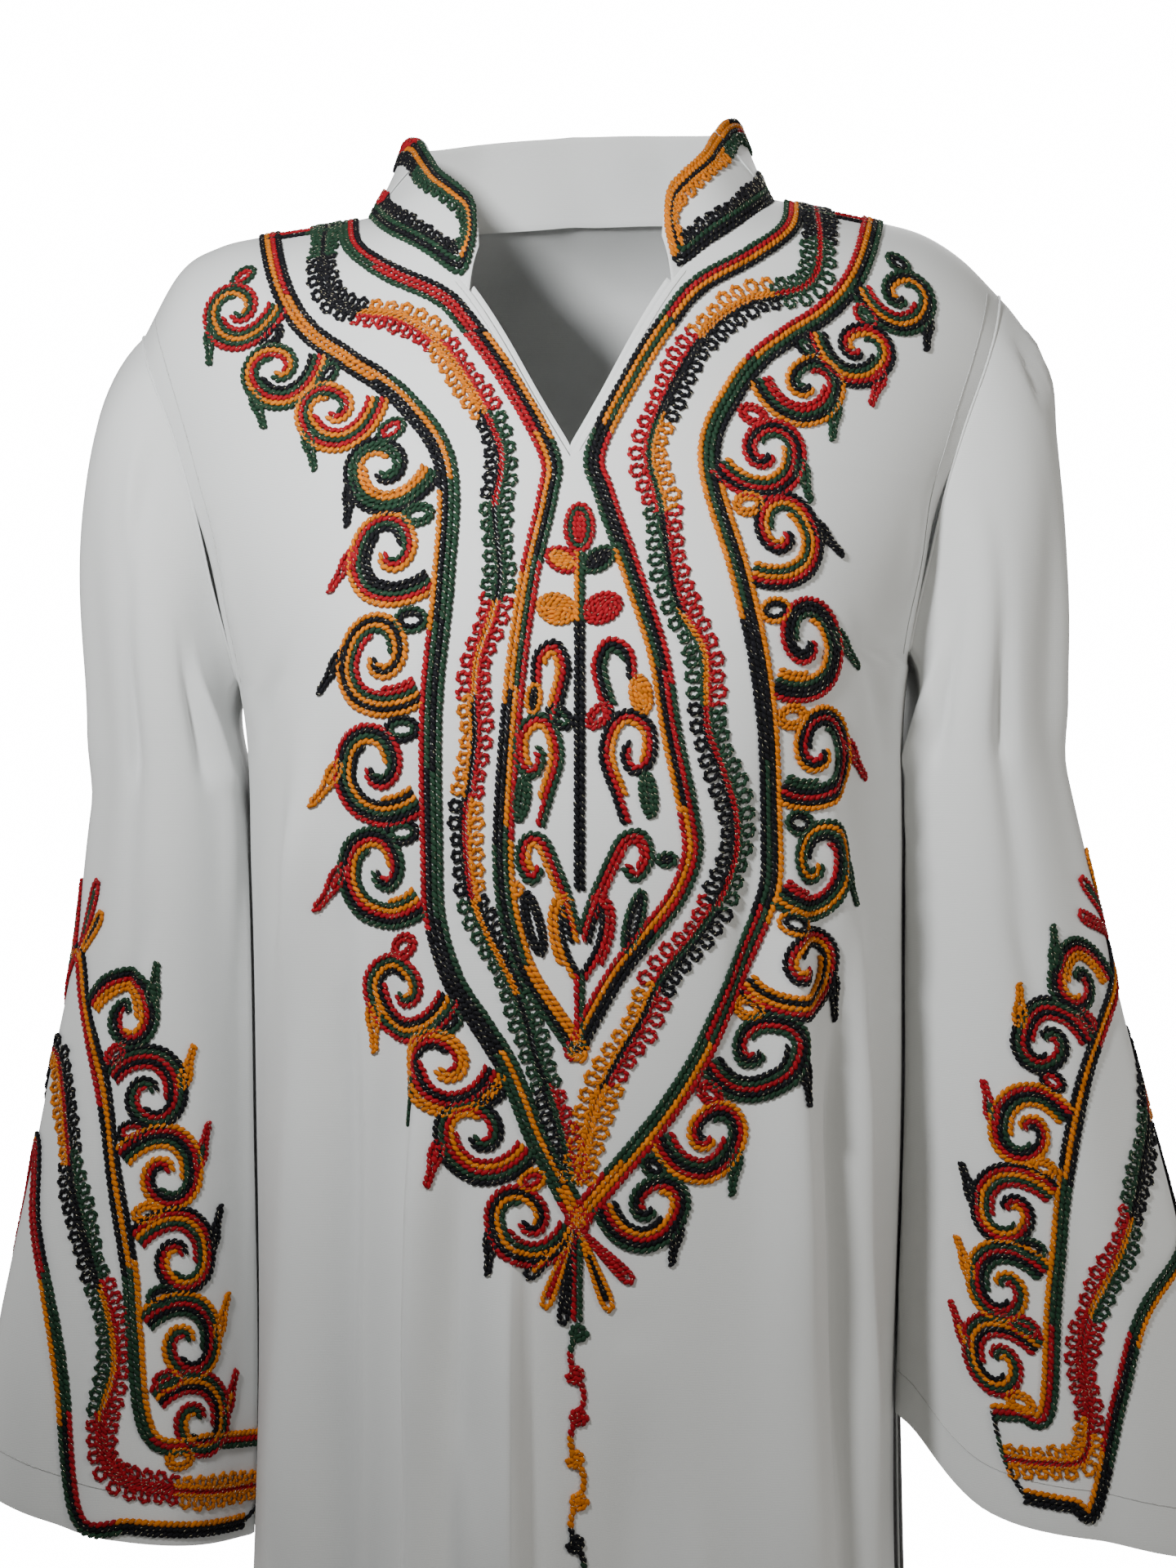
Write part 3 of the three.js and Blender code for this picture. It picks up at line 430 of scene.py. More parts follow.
def shoulder_levels():
    """Levels over the turn of the shoulder, closest at the seam."""
    return SHOULDER_ROLL * (1 - np.cos(np.linspace(0, np.pi / 2, 12)))


def sleeve_rows(side, columns, cap_rows, tube_drops):
    """All points of a sleeve: the cap from the armhole edge, then the tube."""
    degrees = np.arange(columns) * 360 / columns
    angle = np.radians(degrees)
    seam = edge_ring(side, columns)
    end = sleeve_point(side, degrees, SLEEVE_TOP)
    reach = np.linalg.norm(seam - end, axis=1, keepdims=True) * 0.95
    leave = unit(np.stack([side * (0.62 + 0.1 * np.cos(angle)), -0.34 * np.sin(angle), 0 * angle - 0.7], -1))
    start = seam + leave * SEAM * 2
    arrive = unit(end - sleeve_point(side, degrees, SLEEVE_TOP + 20)) * reach / 3
    t = (np.arange(cap_rows) / cap_rows)[:, None, None]
    a, b, c = start, start + leave * reach / 3, end + arrive
    cap = (1 - t) ** 3 * a + 3 * (1 - t) ** 2 * t * b + 3 * (1 - t) * t * t * c + t**3 * end
    outward = unit(np.stack([side * np.cos(angle), -np.sin(angle), 0.25 + 0 * angle], -1))
    level = SLEEVE_TOP - 240 * (1 - t[..., 0])
    fold = sleeve_creases(side, degrees[None, :], level)
    fold = fold * ease(0, 0.1, t[..., 0]) * ease(0, 0.16, 1 - t[..., 0])
    cap = cap + outward * fold[..., None]
    tube = sleeve_point(side, degrees[None, :], np.asarray(tube_drops, float)[:, None])
    return np.concatenate([cap, tube])


def neck_edge():
    """The neck edge from one collar front, round the back, to the other."""
    levels = np.append(np.linspace(66, 6, 16), shoulder_levels()[4::-1])
    front = {side: body_point(-1, side * along(NECK_FRONT, "at", levels), levels) for side in (-1, 1)}
    x = np.linspace(-NECK_HALF + 3, NECK_HALF - 3, 60)
    behind = body_point(1, x, NECK_BACK_DROP * np.sqrt(1 - (x / NECK_HALF) ** 2), creased=False)
    return np.vstack([front[-1], behind, front[1][::-1]])


NECK = neck_edge()
NECK_LENGTH = runs(NECK)[-1]


def collar_point(column, up):
    """Points of the stand collar: column runs round the neck from 0 to COLLAR_COLUMNS."""
    column, up = np.broadcast_arrays(np.asarray(column, float), np.asarray(up, float))
    share = np.clip(column / COLLAR_COLUMNS, 0, 1)
    foot = respaced(NECK, share.ravel()).reshape(*share.shape, 3)
    inward = unit(foot * [-1, -1, 0])
    from_end = np.minimum(share, 1 - share) * NECK_LENGTH
    height = along(COLLAR, "height", from_end, "from_end")
    lean = along(COLLAR, "lean", from_end, "from_end")
    roll = 1.1 * np.sin(np.pi * np.clip(up, 0, 1)) + 0.5 * np.sin(column * 2.1 + up * 2)
    rise = SEAM * 2 + height * up * np.sqrt(1 - lean**2) - COLLAR_FOOT_DROP * np.clip(1 - up, 0, 1) ** 5
    return foot + inward * (height * up * lean - roll)[..., None] + rise[..., None] * np.array([0, 0, 1.0])


class Cloth:
    """A surface that is walked on in its own two directions, across (u) and down (v)."""

    def __init__(self, point, facing, step=(0.5, 0.5)):
        self.point = point
        self.facing = facing
        self.step = step

    def slopes(self, spots):
        u, v = spots[..., 0], spots[..., 1]
        here = self.point(u, v)
        across = (self.point(u + self.step[0], v) - here) / self.step[0]
        down = (self.point(u, v + self.step[1]) - here) / self.step[1]
        return here, across, down

    def scale(self, spots):
        _, across, down = self.slopes(spots)
        return np.maximum(np.linalg.norm(np.stack([across, down], -2), axis=-1), LEAST_SCALE)

    def frame(self, spots):
        here, across, down = self.slopes(spots)
        return here, unit(np.cross(down, across)) * self.facing

    def walk(self, spots, steps):
        """Spots that lie so many mm across and down from others."""
        return spots + steps / self.scale(spots)

    def beside(self, spots, offset):
        """A line moved sideways on the cloth."""
        scale = self.scale(spots)
        way = unit(np.gradient(spots, axis=0) * scale)
        offset = np.broadcast_to(offset, len(spots))[:, None]
        return spots + left_of(way) * offset / scale


FRONT = Cloth(lambda u, v: body_point(-1, u, v), 1)
BODY_CLOTH = {-1: FRONT, 1: Cloth(lambda u, v: body_point(1, u, v), -1)}
SLEEVES = {side: Cloth(lambda u, v, side=side: sleeve_point(side, u, v), -side) for side in (-1, 1)}
COLLAR_CLOTH = Cloth(collar_point, 1, (0.05, 0.02))


# ---- Materials ----
class Socket:
    """An output of a shader node, with arithmetic that adds Math nodes."""

    def __init__(self, shader, socket):
        self.shader = shader
        self.socket = socket

    def math(self, operation, a, b):
        return self.shader.add("Math", {"operation": operation}, {0: a, 1: b})

    def __add__(self, other):
        return self.math("ADD", self, other)

    def __mul__(self, other):
        return self.math("MULTIPLY", self, other)

    __radd__ = __add__
    __rmul__ = __mul__


class Finish:
    """A material of one Principled shader and the nodes that feed it."""

    def __init__(self, name, **constants):
        self.material = bpy.data.materials.new(name)
        self.material.use_nodes = True
        self.tree = self.material.node_tree
        self.shader = self.tree.nodes["Principled BSDF"]
        for socket, value in constants.items():
            self.shader.inputs[socket.replace("_", " ")].default_value = value

    def add(self, kind, settings=None, inputs=None, out=0):
        node = self.tree.nodes.new("ShaderNode" + kind)
        for name, value in (settings or {}).items():
            setattr(node, name, value)
        for name, value in (inputs or {}).items():
            self.feed(node.inputs[name], value)
        return Socket(self, node.outputs[out])

    def feed(self, socket, value):
        if isinstance(value, Socket):
            self.tree.links.new(value.socket, socket)
        else:
            socket.default_value = value

    def set(self, **values):
        for socket, value in values.items():
            self.feed(self.shader.inputs[socket.replace("_", " ")], value)
        return self.material

    def place(self):
        return self.add("TexCoord", out="Object")

    def noise(self, place, scale, detail=2.0):
        return self.add("TexNoise", {}, {"Vector": place, "Scale": scale, "Detail": detail})

    def mix(self, share, a, b, **settings):
        return self.add("Mix", {"data_type": "RGBA", **settings}, {0: share, 6: a, 7: b}, out=2)

    def bump(self, height, distance, strength=1.0):
        return self.add("Bump", {}, {"Height": height, "Distance": distance, "Strength": strength})


def crepe_finish():
    """White polyester crepe: a pebbled fine weave with a soft sheen."""
    f = Finish("white_crepe", Sheen_Weight=0.22, Sheen_Roughness=0.45, Specular_IOR_Level=0.32)
    place = f.place()
    pebble = f.noise(place, 1500.0, 3.0)
    cloud = f.noise(place, 7.0)
    threads = f.add("TexWave", {"bands_direction": "Z"}, {"Vector": place, "Scale": 420.0, "Distortion": 2.5})
    white = f.mix(cloud, (0.77, 0.775, 0.765, 1), (0.83, 0.835, 0.83, 1))
    tone = f.mix(pebble * 0.35, white, (0.68, 0.685, 0.675, 1))
    bump = f.bump(pebble * 0.7 + threads * 0.3, 0.00012, 0.55)
    return f.set(Base_Color=tone, Roughness=0.5 + pebble * 0.16, Normal=bump)


def yarn_finish():
    """Soft twisted yarn. Its dye is held by the stitches."""
    f = Finish("embroidery_yarn", Sheen_Weight=0.03, Sheen_Roughness=0.5, Specular_IOR_Level=0.14)
    place = f.place()
    dye = f.add("Attribute", {"attribute_name": "dye"}, out="Color")
    fuzz = f.noise(place, 2600.0, 2.0)
    deep = f.mix(0.55, dye, (0.35, 0.33, 0.33, 1), blend_type="MULTIPLY")
    tone = f.mix(fuzz, deep, dye)
    return f.set(Base_Color=tone, Roughness=0.5 + fuzz * 0.25, Normal=f.bump(fuzz, 0.00022, 0.7))


def lurex_finish():
    """The gold strip spun into the yarn."""
    f = Finish("gold_lurex", Metallic=1.0)
    glint = f.noise(f.place(), 900.0, 1.0)
    gold = f.mix(glint, (0.98, 0.86, 0.5, 1), (0.95, 0.93, 0.82, 1))
    return f.set(Base_Color=gold, Roughness=0.22 + glint * 0.2)


def thread_finish():
    """White sewing thread."""
    f = Finish("sewing_thread", Sheen_Weight=0.2)
    ply = f.noise(f.place(), 3000.0)
    tone = f.mix(ply, (0.5, 0.5, 0.49, 1), (0.66, 0.66, 0.65, 1))
    return f.set(Base_Color=tone, Roughness=0.55 + ply * 0.2, Normal=f.bump(ply, 0.0001, 0.5))


def floor_finish():
    """Pale matt studio floor."""
    f = Finish("studio_floor")
    mottle = f.noise(f.place(), 30.0)
    tone = f.mix(mottle, (0.72, 0.72, 0.71, 1), (0.76, 0.76, 0.75, 1))
    return f.set(Base_Color=tone, Roughness=0.8 + mottle * 0.1)


CREPE = crepe_finish()
YARN = yarn_finish()
LUREX = lurex_finish()
THREAD = thread_finish()


# ---- Meshes ----
def make_mesh(name, points, faces, material, slot):
    """One piece from points in mm and faces that all have the same number of corners."""
    mesh = bpy.data.meshes.new(name)
    mesh.vertices.add(len(points))
    mesh.vertices.foreach_set("co", np.ascontiguousarray(points * MM, np.float32).ravel())
    sides = faces.shape[1]
    mesh.loops.add(faces.size)
    mesh.loops.foreach_set("vertex_index", np.ascontiguousarray(faces, np.int32).ravel())
    mesh.polygons.add(len(faces))
    mesh.polygons.foreach_set("loop_start", np.arange(len(faces), dtype=np.int32) * sides)
    mesh.polygons.foreach_set("loop_total", np.full(len(faces), sides, np.int32))
    mesh.update(calc_edges=True)
    mesh.validate()
    mesh.shade_smooth()
    mesh.materials.append(material)
    piece = bpy.data.objects.new(name, mesh)
    bpy.context.scene.collection.objects.link(piece)
    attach(piece, "root")
    return piece


def grid_faces(rows, columns, closed=False, flip=False):
    ids = np.arange(rows * columns).reshape(rows, columns)
    if closed:
        ids = np.hstack([ids, ids[:, :1]])
    quads = np.stack([ids[:-1, :-1], ids[1:, :-1], ids[1:, 1:], ids[:-1, 1:]], -1).reshape(-1, 4)
    return quads[:, ::-1] if flip else quads


SPOTS_PER_MM = 50  # how finely shared points are told apart


def cloth_piece(name, grids, thickness=0.6):
    """A thin shell from grids of points, joined where they share points."""
    points = np.concatenate([g.reshape(-1, 3) for g, _ in grids])
    starts = np.cumsum([0] + [g[..., 0].size for g, _ in grids[:-1]])
    faces = np.concatenate([f + start for (_, f), start in zip(grids, starts)])
    places = np.round(points * SPOTS_PER_MM).astype(int)
    _, first, where = np.unique(places, axis=0, return_index=True, return_inverse=True)
    where = where.ravel()
    piece = make_mesh(name, points[first], where[faces], CREPE, "crepe")
    shell = piece.modifiers.new("thickness", "SOLIDIFY")
    shell.thickness = thickness * MM
    shell.offset = -1
    shading = piece.modifiers.new("even_shading", "WEIGHTED_NORMAL")
    shading.mode = "FACE_AREA"
    shading.weight = 80
    return piece


BODY_LEVELS = np.concatenate([shoulder_levels(), np.arange(53, 720, 8), np.linspace(722, LENGTH, 46)])
BODY_LEVELS = np.unique(np.append(BODY_LEVELS, [SLIT_DROP, ARMPIT_DROP]))


def panel(name, face, columns):
    grids = []
    for side in (1, -1):
        x, drop = body_spots(face, side, BODY_LEVELS, columns)
        points = body_point(face, x, drop)
        grids.append((points, grid_faces(*x.shape, flip=(side > 0) == (face > 0))))
    return cloth_piece(name, grids)


def sleeve(name, side):
    rows = sleeve_rows(side, 108, 34, np.linspace(SLEEVE_TOP, SLEEVE_CUT[side]["drop"][-1], 58))
    return cloth_piece(name, [(rows, grid_faces(*rows.shape[:2], closed=True, flip=side > 0))])


def collar(name):
    column, up = np.meshgrid(np.linspace(0, COLLAR_COLUMNS, 181), np.linspace(0, 1, 15))
    rows = collar_point(column, up)
    return cloth_piece(name, [(rows, grid_faces(*rows.shape[:2]))], thickness=1.1)


def neck_facing(name):
    """The facing turned in along both edges of the slit."""
    drops = np.linspace(66, SLIT_DROP + 1, 40)
    grids = []
    for side in (1, -1):
        edge = np.maximum(0, along(NECK_FRONT, "at", drops))
        more = np.linspace(-3, 13, 9)[None, :]
        x = np.maximum(0, edge[:, None] + more * 0.8)
        points = body_point(-1, side * x, drops[:, None] + more * 0.55) + [0, 2.6, 0]
        grids.append((points, grid_faces(*x.shape, flip=side < 0)))
    return cloth_piece(name, grids, thickness=0.8)


# ---- Stitches ----
DYES = {  # green, black, red and orange
    "g": (0.016, 0.05, 0.026),
    "k": (0.006, 0.006, 0.009),
    "r": (0.38, 0.005, 0.014),
    "o": (0.72, 0.2, 0.002),
}
STITCH = 3.1  # length of cord that one chain stitch covers
CORD = 2.9  # width of a cord
HEIGHT = 2.1  # height of a cord
STITCH_HALVES = (0.8, 0.47, 0.5)  # half sizes of a stitch over its pitch, the cord's width and its height
GLINT_SHARE = 0.55  # stitches that show the gold
GLINT_HALVES = (0.2, 0.17)  # half width and half height of a glint
GLINT_LIFT = 0.84  # height of a glint over the cord's
STITCH_LIFT = 0.42  # height of a stitch's middle over the cord's


def bead(sides=5):
    """One plump stitch: two rings of points between two tips, along x, in half sizes."""
    turn = np.arange(sides) * 2 * np.pi / sides
    rings = [np.stack([np.full(sides, x), 0.92 * np.cos(turn), 0.92 * np.sin(turn)], -1) for x in (-0.5, 0.5)]
    points = np.vstack([[(-1, 0, 0)], *rings, [(1, 0, 0)]])
    k = np.arange(sides)
    n, last = (k + 1) % sides, 0 * k + 2 * sides + 1
    near, far = (k + 1, n + 1), (k + 1 + sides, n + 1 + sides)
    ends = [np.stack([0 * k, near[1], near[0]], -1), np.stack([last, far[0], far[1]], -1)]
    band = [np.stack([near[0], near[1], far[1]], -1), np.stack([near[0], far[1], far[0]], -1)]
    return points, np.vstack(ends + band)


def set_down(form, centre, axes, turn, size):
    """Points and faces of a small form at many places. axes are along, aside and up, turned about up."""
    shape, faces = form
    way, side, up = axes
    turn = turn[:, None]
    long_way = way * np.cos(turn) + side * np.sin(turn)
    cross_way = side * np.cos(turn) - way * np.sin(turn)
    grown = np.stack([long_way * size[:, :1], cross_way * size[:, 1:2], up * size[:, 2:]], 1)
    points = np.einsum("pk,nkc->npc", shape, grown) + centre[:, None]
    all_faces = faces[None] + (np.arange(len(centre)) * len(shape))[:, None, None]
    return points.reshape(-1, 3), all_faces.reshape(-1, 3)


def sliver():
    """A glint of metal strip: a flat, long diamond."""
    points = np.array([(-1, 0, 0), (0, -1, 0), (1, 0, 0), (0, 1, 0), (0, 0, 1), (0, 0, -1)], float)
    faces = [(0, 1, 4), (1, 2, 4), (2, 3, 4), (3, 0, 4), (1, 0, 5), (2, 1, 5), (3, 2, 5), (0, 3, 5)]
    return points, np.array(faces)


class Needlework:
    """Stitches gathered from many lines, made into one mesh."""

    def __init__(self):
        self.rows = []

    def lay(self, cloth, line, dyes="k", offset=0.0, width=CORD, pitch=STITCH, height=HEIGHT, slant=31.0):
        """Stitches along a line of spots on a cloth. dyes gives equal stretches of the line their colours."""
        line = np.asarray(line, float)
        offset = np.asarray(offset, float)
        if offset.any():
            line = cloth.beside(line, offset)
        here = cloth.point(line[:, 0], line[:, 1])
        run = runs(here)
        count = max(2, int(round(run[-1] / pitch)))
        at = (np.arange(count) + 0.5) * run[-1] / count
        centre, normal = cloth.frame(sample(at, run, line))
        way = sample(at + 0.6, run, here) - sample(at - 0.6, run, here)
        way = unit(way - normal * (way * normal).sum(-1, keepdims=True))
        wide = np.interp(at, run, np.broadcast_to(width, len(line)))
        edge = np.clip(at / run[-1] + rng.normal(0, 0.25 / max(8, count), count), 0, 0.9999)
        dye = np.array([DYES[dyes[int(share * len(dyes))]] for share in edge])
        same = [np.full(count, float(value)) for value in (run[-1] / count, height, slant)]
        self.rows.append((centre, normal, way, wide, *same, dye))

    def gathered(self):
        return [np.concatenate(column) for column in zip(*self.rows)]

    def make(self, name, material=YARN, slot="cord", lift=STITCH_LIFT):
        centre, normal, way, wide, pitch, height, slant, dye = self.gathered()
        count = len(centre)
        turn = np.radians(slant + rng.normal(0, 4, count))
        size = np.stack([pitch, wide, height], -1) * STITCH_HALVES * rng.normal(1, 0.05, (count, 3))
        centre = centre + normal * (height * lift)[:, None]
        points, faces = set_down(bead(), centre, (way, np.cross(normal, way), normal), turn, size)
        piece = make_mesh(name, points, faces, material, slot)
        shade = dye * rng.normal(1, 0.12, (count, 1)).clip(0.7, 1.4)
        colors = np.repeat(np.hstack([shade, np.ones((count, 1))]), len(points) // count, 0)
        layer = piece.data.color_attributes.new("dye", "FLOAT_COLOR", "POINT")
        layer.data.foreach_set("color", colors.astype(np.float32).ravel())
        return piece

    def make_glints(self, name):
        """Metal strip on some of the stitches."""
        rows = self.gathered()
        kept = rng.random(len(rows[0])) < GLINT_SHARE
        centre, normal, way, wide, pitch, height, slant, _ = (row[kept] for row in rows)
        count = len(centre)
        side = np.cross(normal, way)
        turn = np.radians(slant + rng.normal(2, 9, count))
        spot = centre + normal * (height * GLINT_LIFT)[:, None]
        spot = spot + side * (rng.normal(0, 0.13, count) * wide)[:, None]
        spot = spot + way * (pitch * rng.normal(0.5, 0.08, count))[:, None]
        halves = [np.full(count, half) for half in GLINT_HALVES]
        size = np.stack([rng.uniform(0.5, 1.3, count), *halves], -1)
        return make_mesh(name, *set_down(sliver(), spot, (way, side, normal), turn, size), LUREX, "cord")


# ---- Embroidery ----
def chest_run(rows, side):
    return np.stack([side * rows[SIDE[side]], rows["drop"]], -1)


def border(work, cloth, line, rows, width):
    """Cords side by side along a line, each with its own run of colours."""
    for k, dyes in enumerate(rows):
        offset = width * (0.5 - (k + 0.5) / len(rows))
        work.lay(cloth, line, dyes, offset=offset, width=width / len(rows) * 1.08)


LOBE = table("along out", """
    0.40 0.0  0.30 0.25  0.20 0.60  0.29 0.90  0.50 1.0  0.71 0.90  0.80 0.60  0.70 0.25  0.60 0.0
""")


def curls(cloth, line, side, base=2.0, pitch=7.4, reach=6.2):
    """A cord that runs along one side of a line in round lobes."""
    run = runs(cloth.point(line[:, 0], line[:, 1]))
    count = int(run[-1] / pitch)
    lobes = np.arange(count)[:, None]
    tall = reach * (1 + 0.16 * np.sin(lobes * 0.9 + side) + rng.normal(0, 0.05, lobes.shape))
    path = np.stack([(lobes + LOBE["along"]) * run[-1] / count, base + tall * LOBE["out"]], -1).reshape(-1, 2)
    path = smooth(path, 4)
    spots = sample(path[:, 0], run, line)
    step = sample(path[:, 0] + 1.5, run, line) - sample(path[:, 0] - 1.5, run, line)
    scale = cloth.scale(spots)
    return spots + side * left_of(unit(step * scale)) * path[:, 1:] / scale


def wave(work, cloth, line, middle, outer, inner, reach=6.2, pitch=7.4):
    """Two fine cords with a lobed cord on each side."""
    for offset in (-0.95, 0.95):
        work.lay(cloth, line, middle, offset=offset, width=1.9, pitch=2.7, height=1.8)
    for side, dyes in ((1, outer), (-1, inner)):
        lobes = curls(cloth, line, side, pitch=pitch, reach=reach)
        work.lay(cloth, lobes, dyes, width=2.4, pitch=2.5, height=2.0)


def oval(cloth, centre, radii, tilt=0.0, count=26):
    """A closed ring round a spot. tilt turns it in degrees."""
    turn = np.linspace(0, 2 * np.pi, count)
    flat = np.stack([radii[0] * np.cos(turn), radii[1] * np.sin(turn)], -1)
    c, s = math.cos(math.radians(tilt)), math.sin(math.radians(tilt))
    centre = np.asarray(centre, float)
    return cloth.walk(np.broadcast_to(centre, flat.shape), flat @ np.array([[c, s], [-s, c]]))


def leaf(work, cloth, centre, radii, dyes, tilt=0.0):
    """Cords round and round, from the outer edge in until the leaf is full."""
    for k in range(8):
        size = [r - 1.2 - 2.05 * k for r in radii]
        if min(size) < 0.2 and k:
            break
        ring = oval(cloth, centre, np.maximum(size, 0.5), tilt)
        work.lay(cloth, ring, dyes[min(k, len(dyes) - 1)], width=2.6, pitch=2.7)


TEARDROP = ((0, 0.3), (0.14, 0.85), (0.32, 1.0), (0.5, 0.66), (0.68, 0.36), (0.93, 0.3), (1, 0)), (0.1, 0.5)
PETAL = ((0, 0.2), (0.35, 0.55), (0.7, 0.95), (0.88, 1.0), (0.98, 0.6), (1, 0)), (0.3, 0.88)


def blade(work, cloth, base, tip, dyes, width, form=TEARDROP):
    """A leaf of two cords: one round its edge, one up its middle."""
    base, tip = np.asarray(base, float), np.asarray(tip, float)
    scale = cloth.scale(base[None])[0]
    way = (tip - base) * scale
    length = np.linalg.norm(way)
    way = way / length
    across = np.array([-way[1], way[0]]) * (width / 2 - 1.15)
    outline = np.vstack([form[0], np.array(form[0])[-2::-1] * [1, -1]])
    steps = outline[:, :1] * length * way + outline[:, 1:] * across
    edge = smooth(cloth.walk(np.broadcast_to(base, steps.shape), steps), 6)
    work.lay(cloth, edge, dyes[0], width=2.6, pitch=2.6)
    if width > 5.5:
        middle = base + np.outer(np.linspace(*form[1], 6), tip - base)
        work.lay(cloth, middle, dyes[-1], width=min(4.2, width - 3.6), pitch=2.6)


def stroke(work, cloth, spots, widths, dyes, cord=2.5, flip=1):
    """A band of cords laid from its outer edge in. A cord stops where the band grows too narrow."""
    line = smooth(spots, 8)
    wide = np.interp(np.linspace(0, 1, len(line)), np.linspace(0, 1, len(widths)), widths)
    for k, dye in enumerate(dyes):
        fits = wide >= (k + 0.72) * cord
        if fits.sum() > 5:
            offset = flip * (wide / 2 - (k + 0.5) * cord)[fits]
            work.lay(cloth, cloth.beside(line[fits], offset), dye, width=cord * 1.1)


SCROLL = table("out up width", """
    6.5 -4.6 14.5  13.6 -8.4 14.5  24.4 -10.2 14.3  35.2 -6.3 14  41.2 3.7 13.6  40.9 14.4 13
    37.4 22.4 12.3  30.3 26.3 11.5  22.4 23.9 10.6  18 15.8 9.7  18.6 8.6 9  23 4.3 8.2  28.2 6 7.2
    28.8 10.8 6.4
""")
RING_AT = (13.4, 28.4)
LEAF_FROM = (43.6, 14.2)
LEAF_TO = (56.5, -6.5)


def spot_along(cloth, line, distance):
    """The spot so many mm along a line, and its direction in mm across and down."""
    scale = cloth.scale((line[1:] + line[:-1]) / 2)
    ways = np.diff(line, axis=0) * scale
    lengths = np.linalg.norm(ways, axis=1)
    for k, length in enumerate(lengths):
        if distance <= length or k == len(lengths) - 1:
            return line[k] + (line[k + 1] - line[k]) * distance / length, ways[k] / length
        distance -= length


def scroll(work, cloth, place, hand, turn, size, rows, ring, tip):
    """A ram's-horn scroll growing out of a border, with its ring and its pointed leaf."""
    spot, way = place
    out = np.array([way[1], -way[0]]) * hand

    def at(outs, ups):
        steps = np.outer(outs, out) - turn * np.outer(ups, way)
        return cloth.walk(np.broadcast_to(spot, steps.shape), steps * size)

    band = at(SCROLL["out"], SCROLL["up"])
    stroke(work, cloth, band, SCROLL["width"] * (0.35 + 0.65 * size), rows, flip=1 if hand * turn > 0 else -1)
    for k, dye in enumerate(ring):
        angle = np.linspace(0, 2 * np.pi, 22)
        r = [max(0.6, radius * size - 1.2 - 2.4 * k) / size for radius in (8.6, 6.6)]
        line = at(RING_AT[0] + r[0] * np.cos(angle), RING_AT[1] + r[1] * np.sin(angle))
        work.lay(cloth, line, dye, width=2.6, pitch=2.7)
    base, point = at([LEAF_FROM[0], LEAF_TO[0]], [LEAF_FROM[1], LEAF_TO[1]])
    blade(work, cloth, base, point, tip, width=4.2 + 4.6 * size)


CHEST_BORDER = table("right left drop", """
    154 154 3  141 140 45  126 123 70  101 97 92  77 78 116  58 65 149  58 77 202  62 86 259
    63 93 330  62 90 358  54 79 386  41 69 407  30 60 425  22 48 444  15 34 462  -4 4 497
""")
CHEST_SECOND = table("right left drop", """
    113 113 5  107 107 27  88 88 47  62 62 67  47.5 47.5 85  30 31 110  10 12 146  10.5 16 165
    18.5 28 199  24 40 237  27.5 46 274  30 54 312  30.5 56 331  29 49 350  25 35 368  18 20 387
    -3 3 418
""")
CHEST_WAVE = table("right left drop", """
    124 124 3  117 118 53  82 84 72  59 61 95  33 38 141  35 42 170  32 46 199  36 50 218  42 60 237
    43.5 61 256  43 62 274  45 69 293  47.5 75 312  47 76 331  44 70 350  36.6 58 368  27 42 387
    20 33 406  15 21.5 425  8 12 444  2 7 465  -2 4 482
""")
BORDER_WIDTH = 11
SECOND_WIDTH = 10
# Colours of the cords from the outer one in, in stretches from the right shoulder down to the point and up
# to the left shoulder.
BORDER_DYES = ("kkkorrkgrrroookkg", "ookkgkkgoogkkkggk", "roogkgkoogrgkggoo", "kkggggggrggkkoorr")
SECOND_DYES = ("ggrrokggkggrrokk", "grrookkkkrrkkgoo", "rrkkgogoookgkorr", "kkogrroorroogkgg")
WAVE_DYES = {"middle": "kkoorkokrokg", "outer": "gkrokgrokggk", "inner": "gkorggrrokgr"}
WAVE_DYES_LEFT = {"middle": "rrokgkorrgko", "outer": "kgkkorrggkro", "inner": "kgorrggkkroo"}

# Scrolls by mm along the border and size, then the colours of band, ring and leaf, right and left.
CHEST_SCROLLS = (
    (60, 0.86, "rgogro gr g", "gkogrr gk k"),
    (97, 0.88, "gorgko kk g", "krogkg rg r"),
    (139, 0.90, "orgorr gk g", "okgrro kg g"),
    (192, 0.93, "kggoor gr k", "rkrgoo rr g"),
    (250, 0.97, "orgkkg gg r", "krogoo oo k"),
    (303, 1.00, "okogrr gk k", "rkkgoo ok g"),
    (353, 1.00, "rkgoko kg o", "okrkgg oo r"),
    (400, 1.00, "gkrogo kg r", "gogkrr gk g"),
    (443, 0.95, "rgokro rr o", "krokog ok k"),
    (484, 0.92, "oorkrg gk g", "gkrgko oo k"),
    (524, 0.88, "kgrorg kk r", "orkgrk rr g"),
    (565, 0.84, "rkogrg or k", "gkrokr gk k"),
)


def chest_borders():
    work = Needlework()
    for rows, dyes, width in (
        (CHEST_BORDER, BORDER_DYES, BORDER_WIDTH),
        (CHEST_SECOND, SECOND_DYES, SECOND_WIDTH),
    ):
        down, up = chest_run(rows, -1), chest_run(rows, 1)[::-1]
        line = smooth(np.vstack([down, (down[-1:] + up[:1]) / 2 + [0, 1], up]), 8)
        border(work, FRONT, line, dyes, width)
    for side in (-1, 1):
        ends = np.array([chest_run(rows, side)[0] for rows in (CHEST_BORDER, CHEST_SECOND)])
        edge = smooth(ends + [0, 3], 12)
        work.lay(FRONT, edge, "rk", width=2.4)
        work.lay(FRONT, edge + [0, 3.2], "kg", width=2.4)
    return work


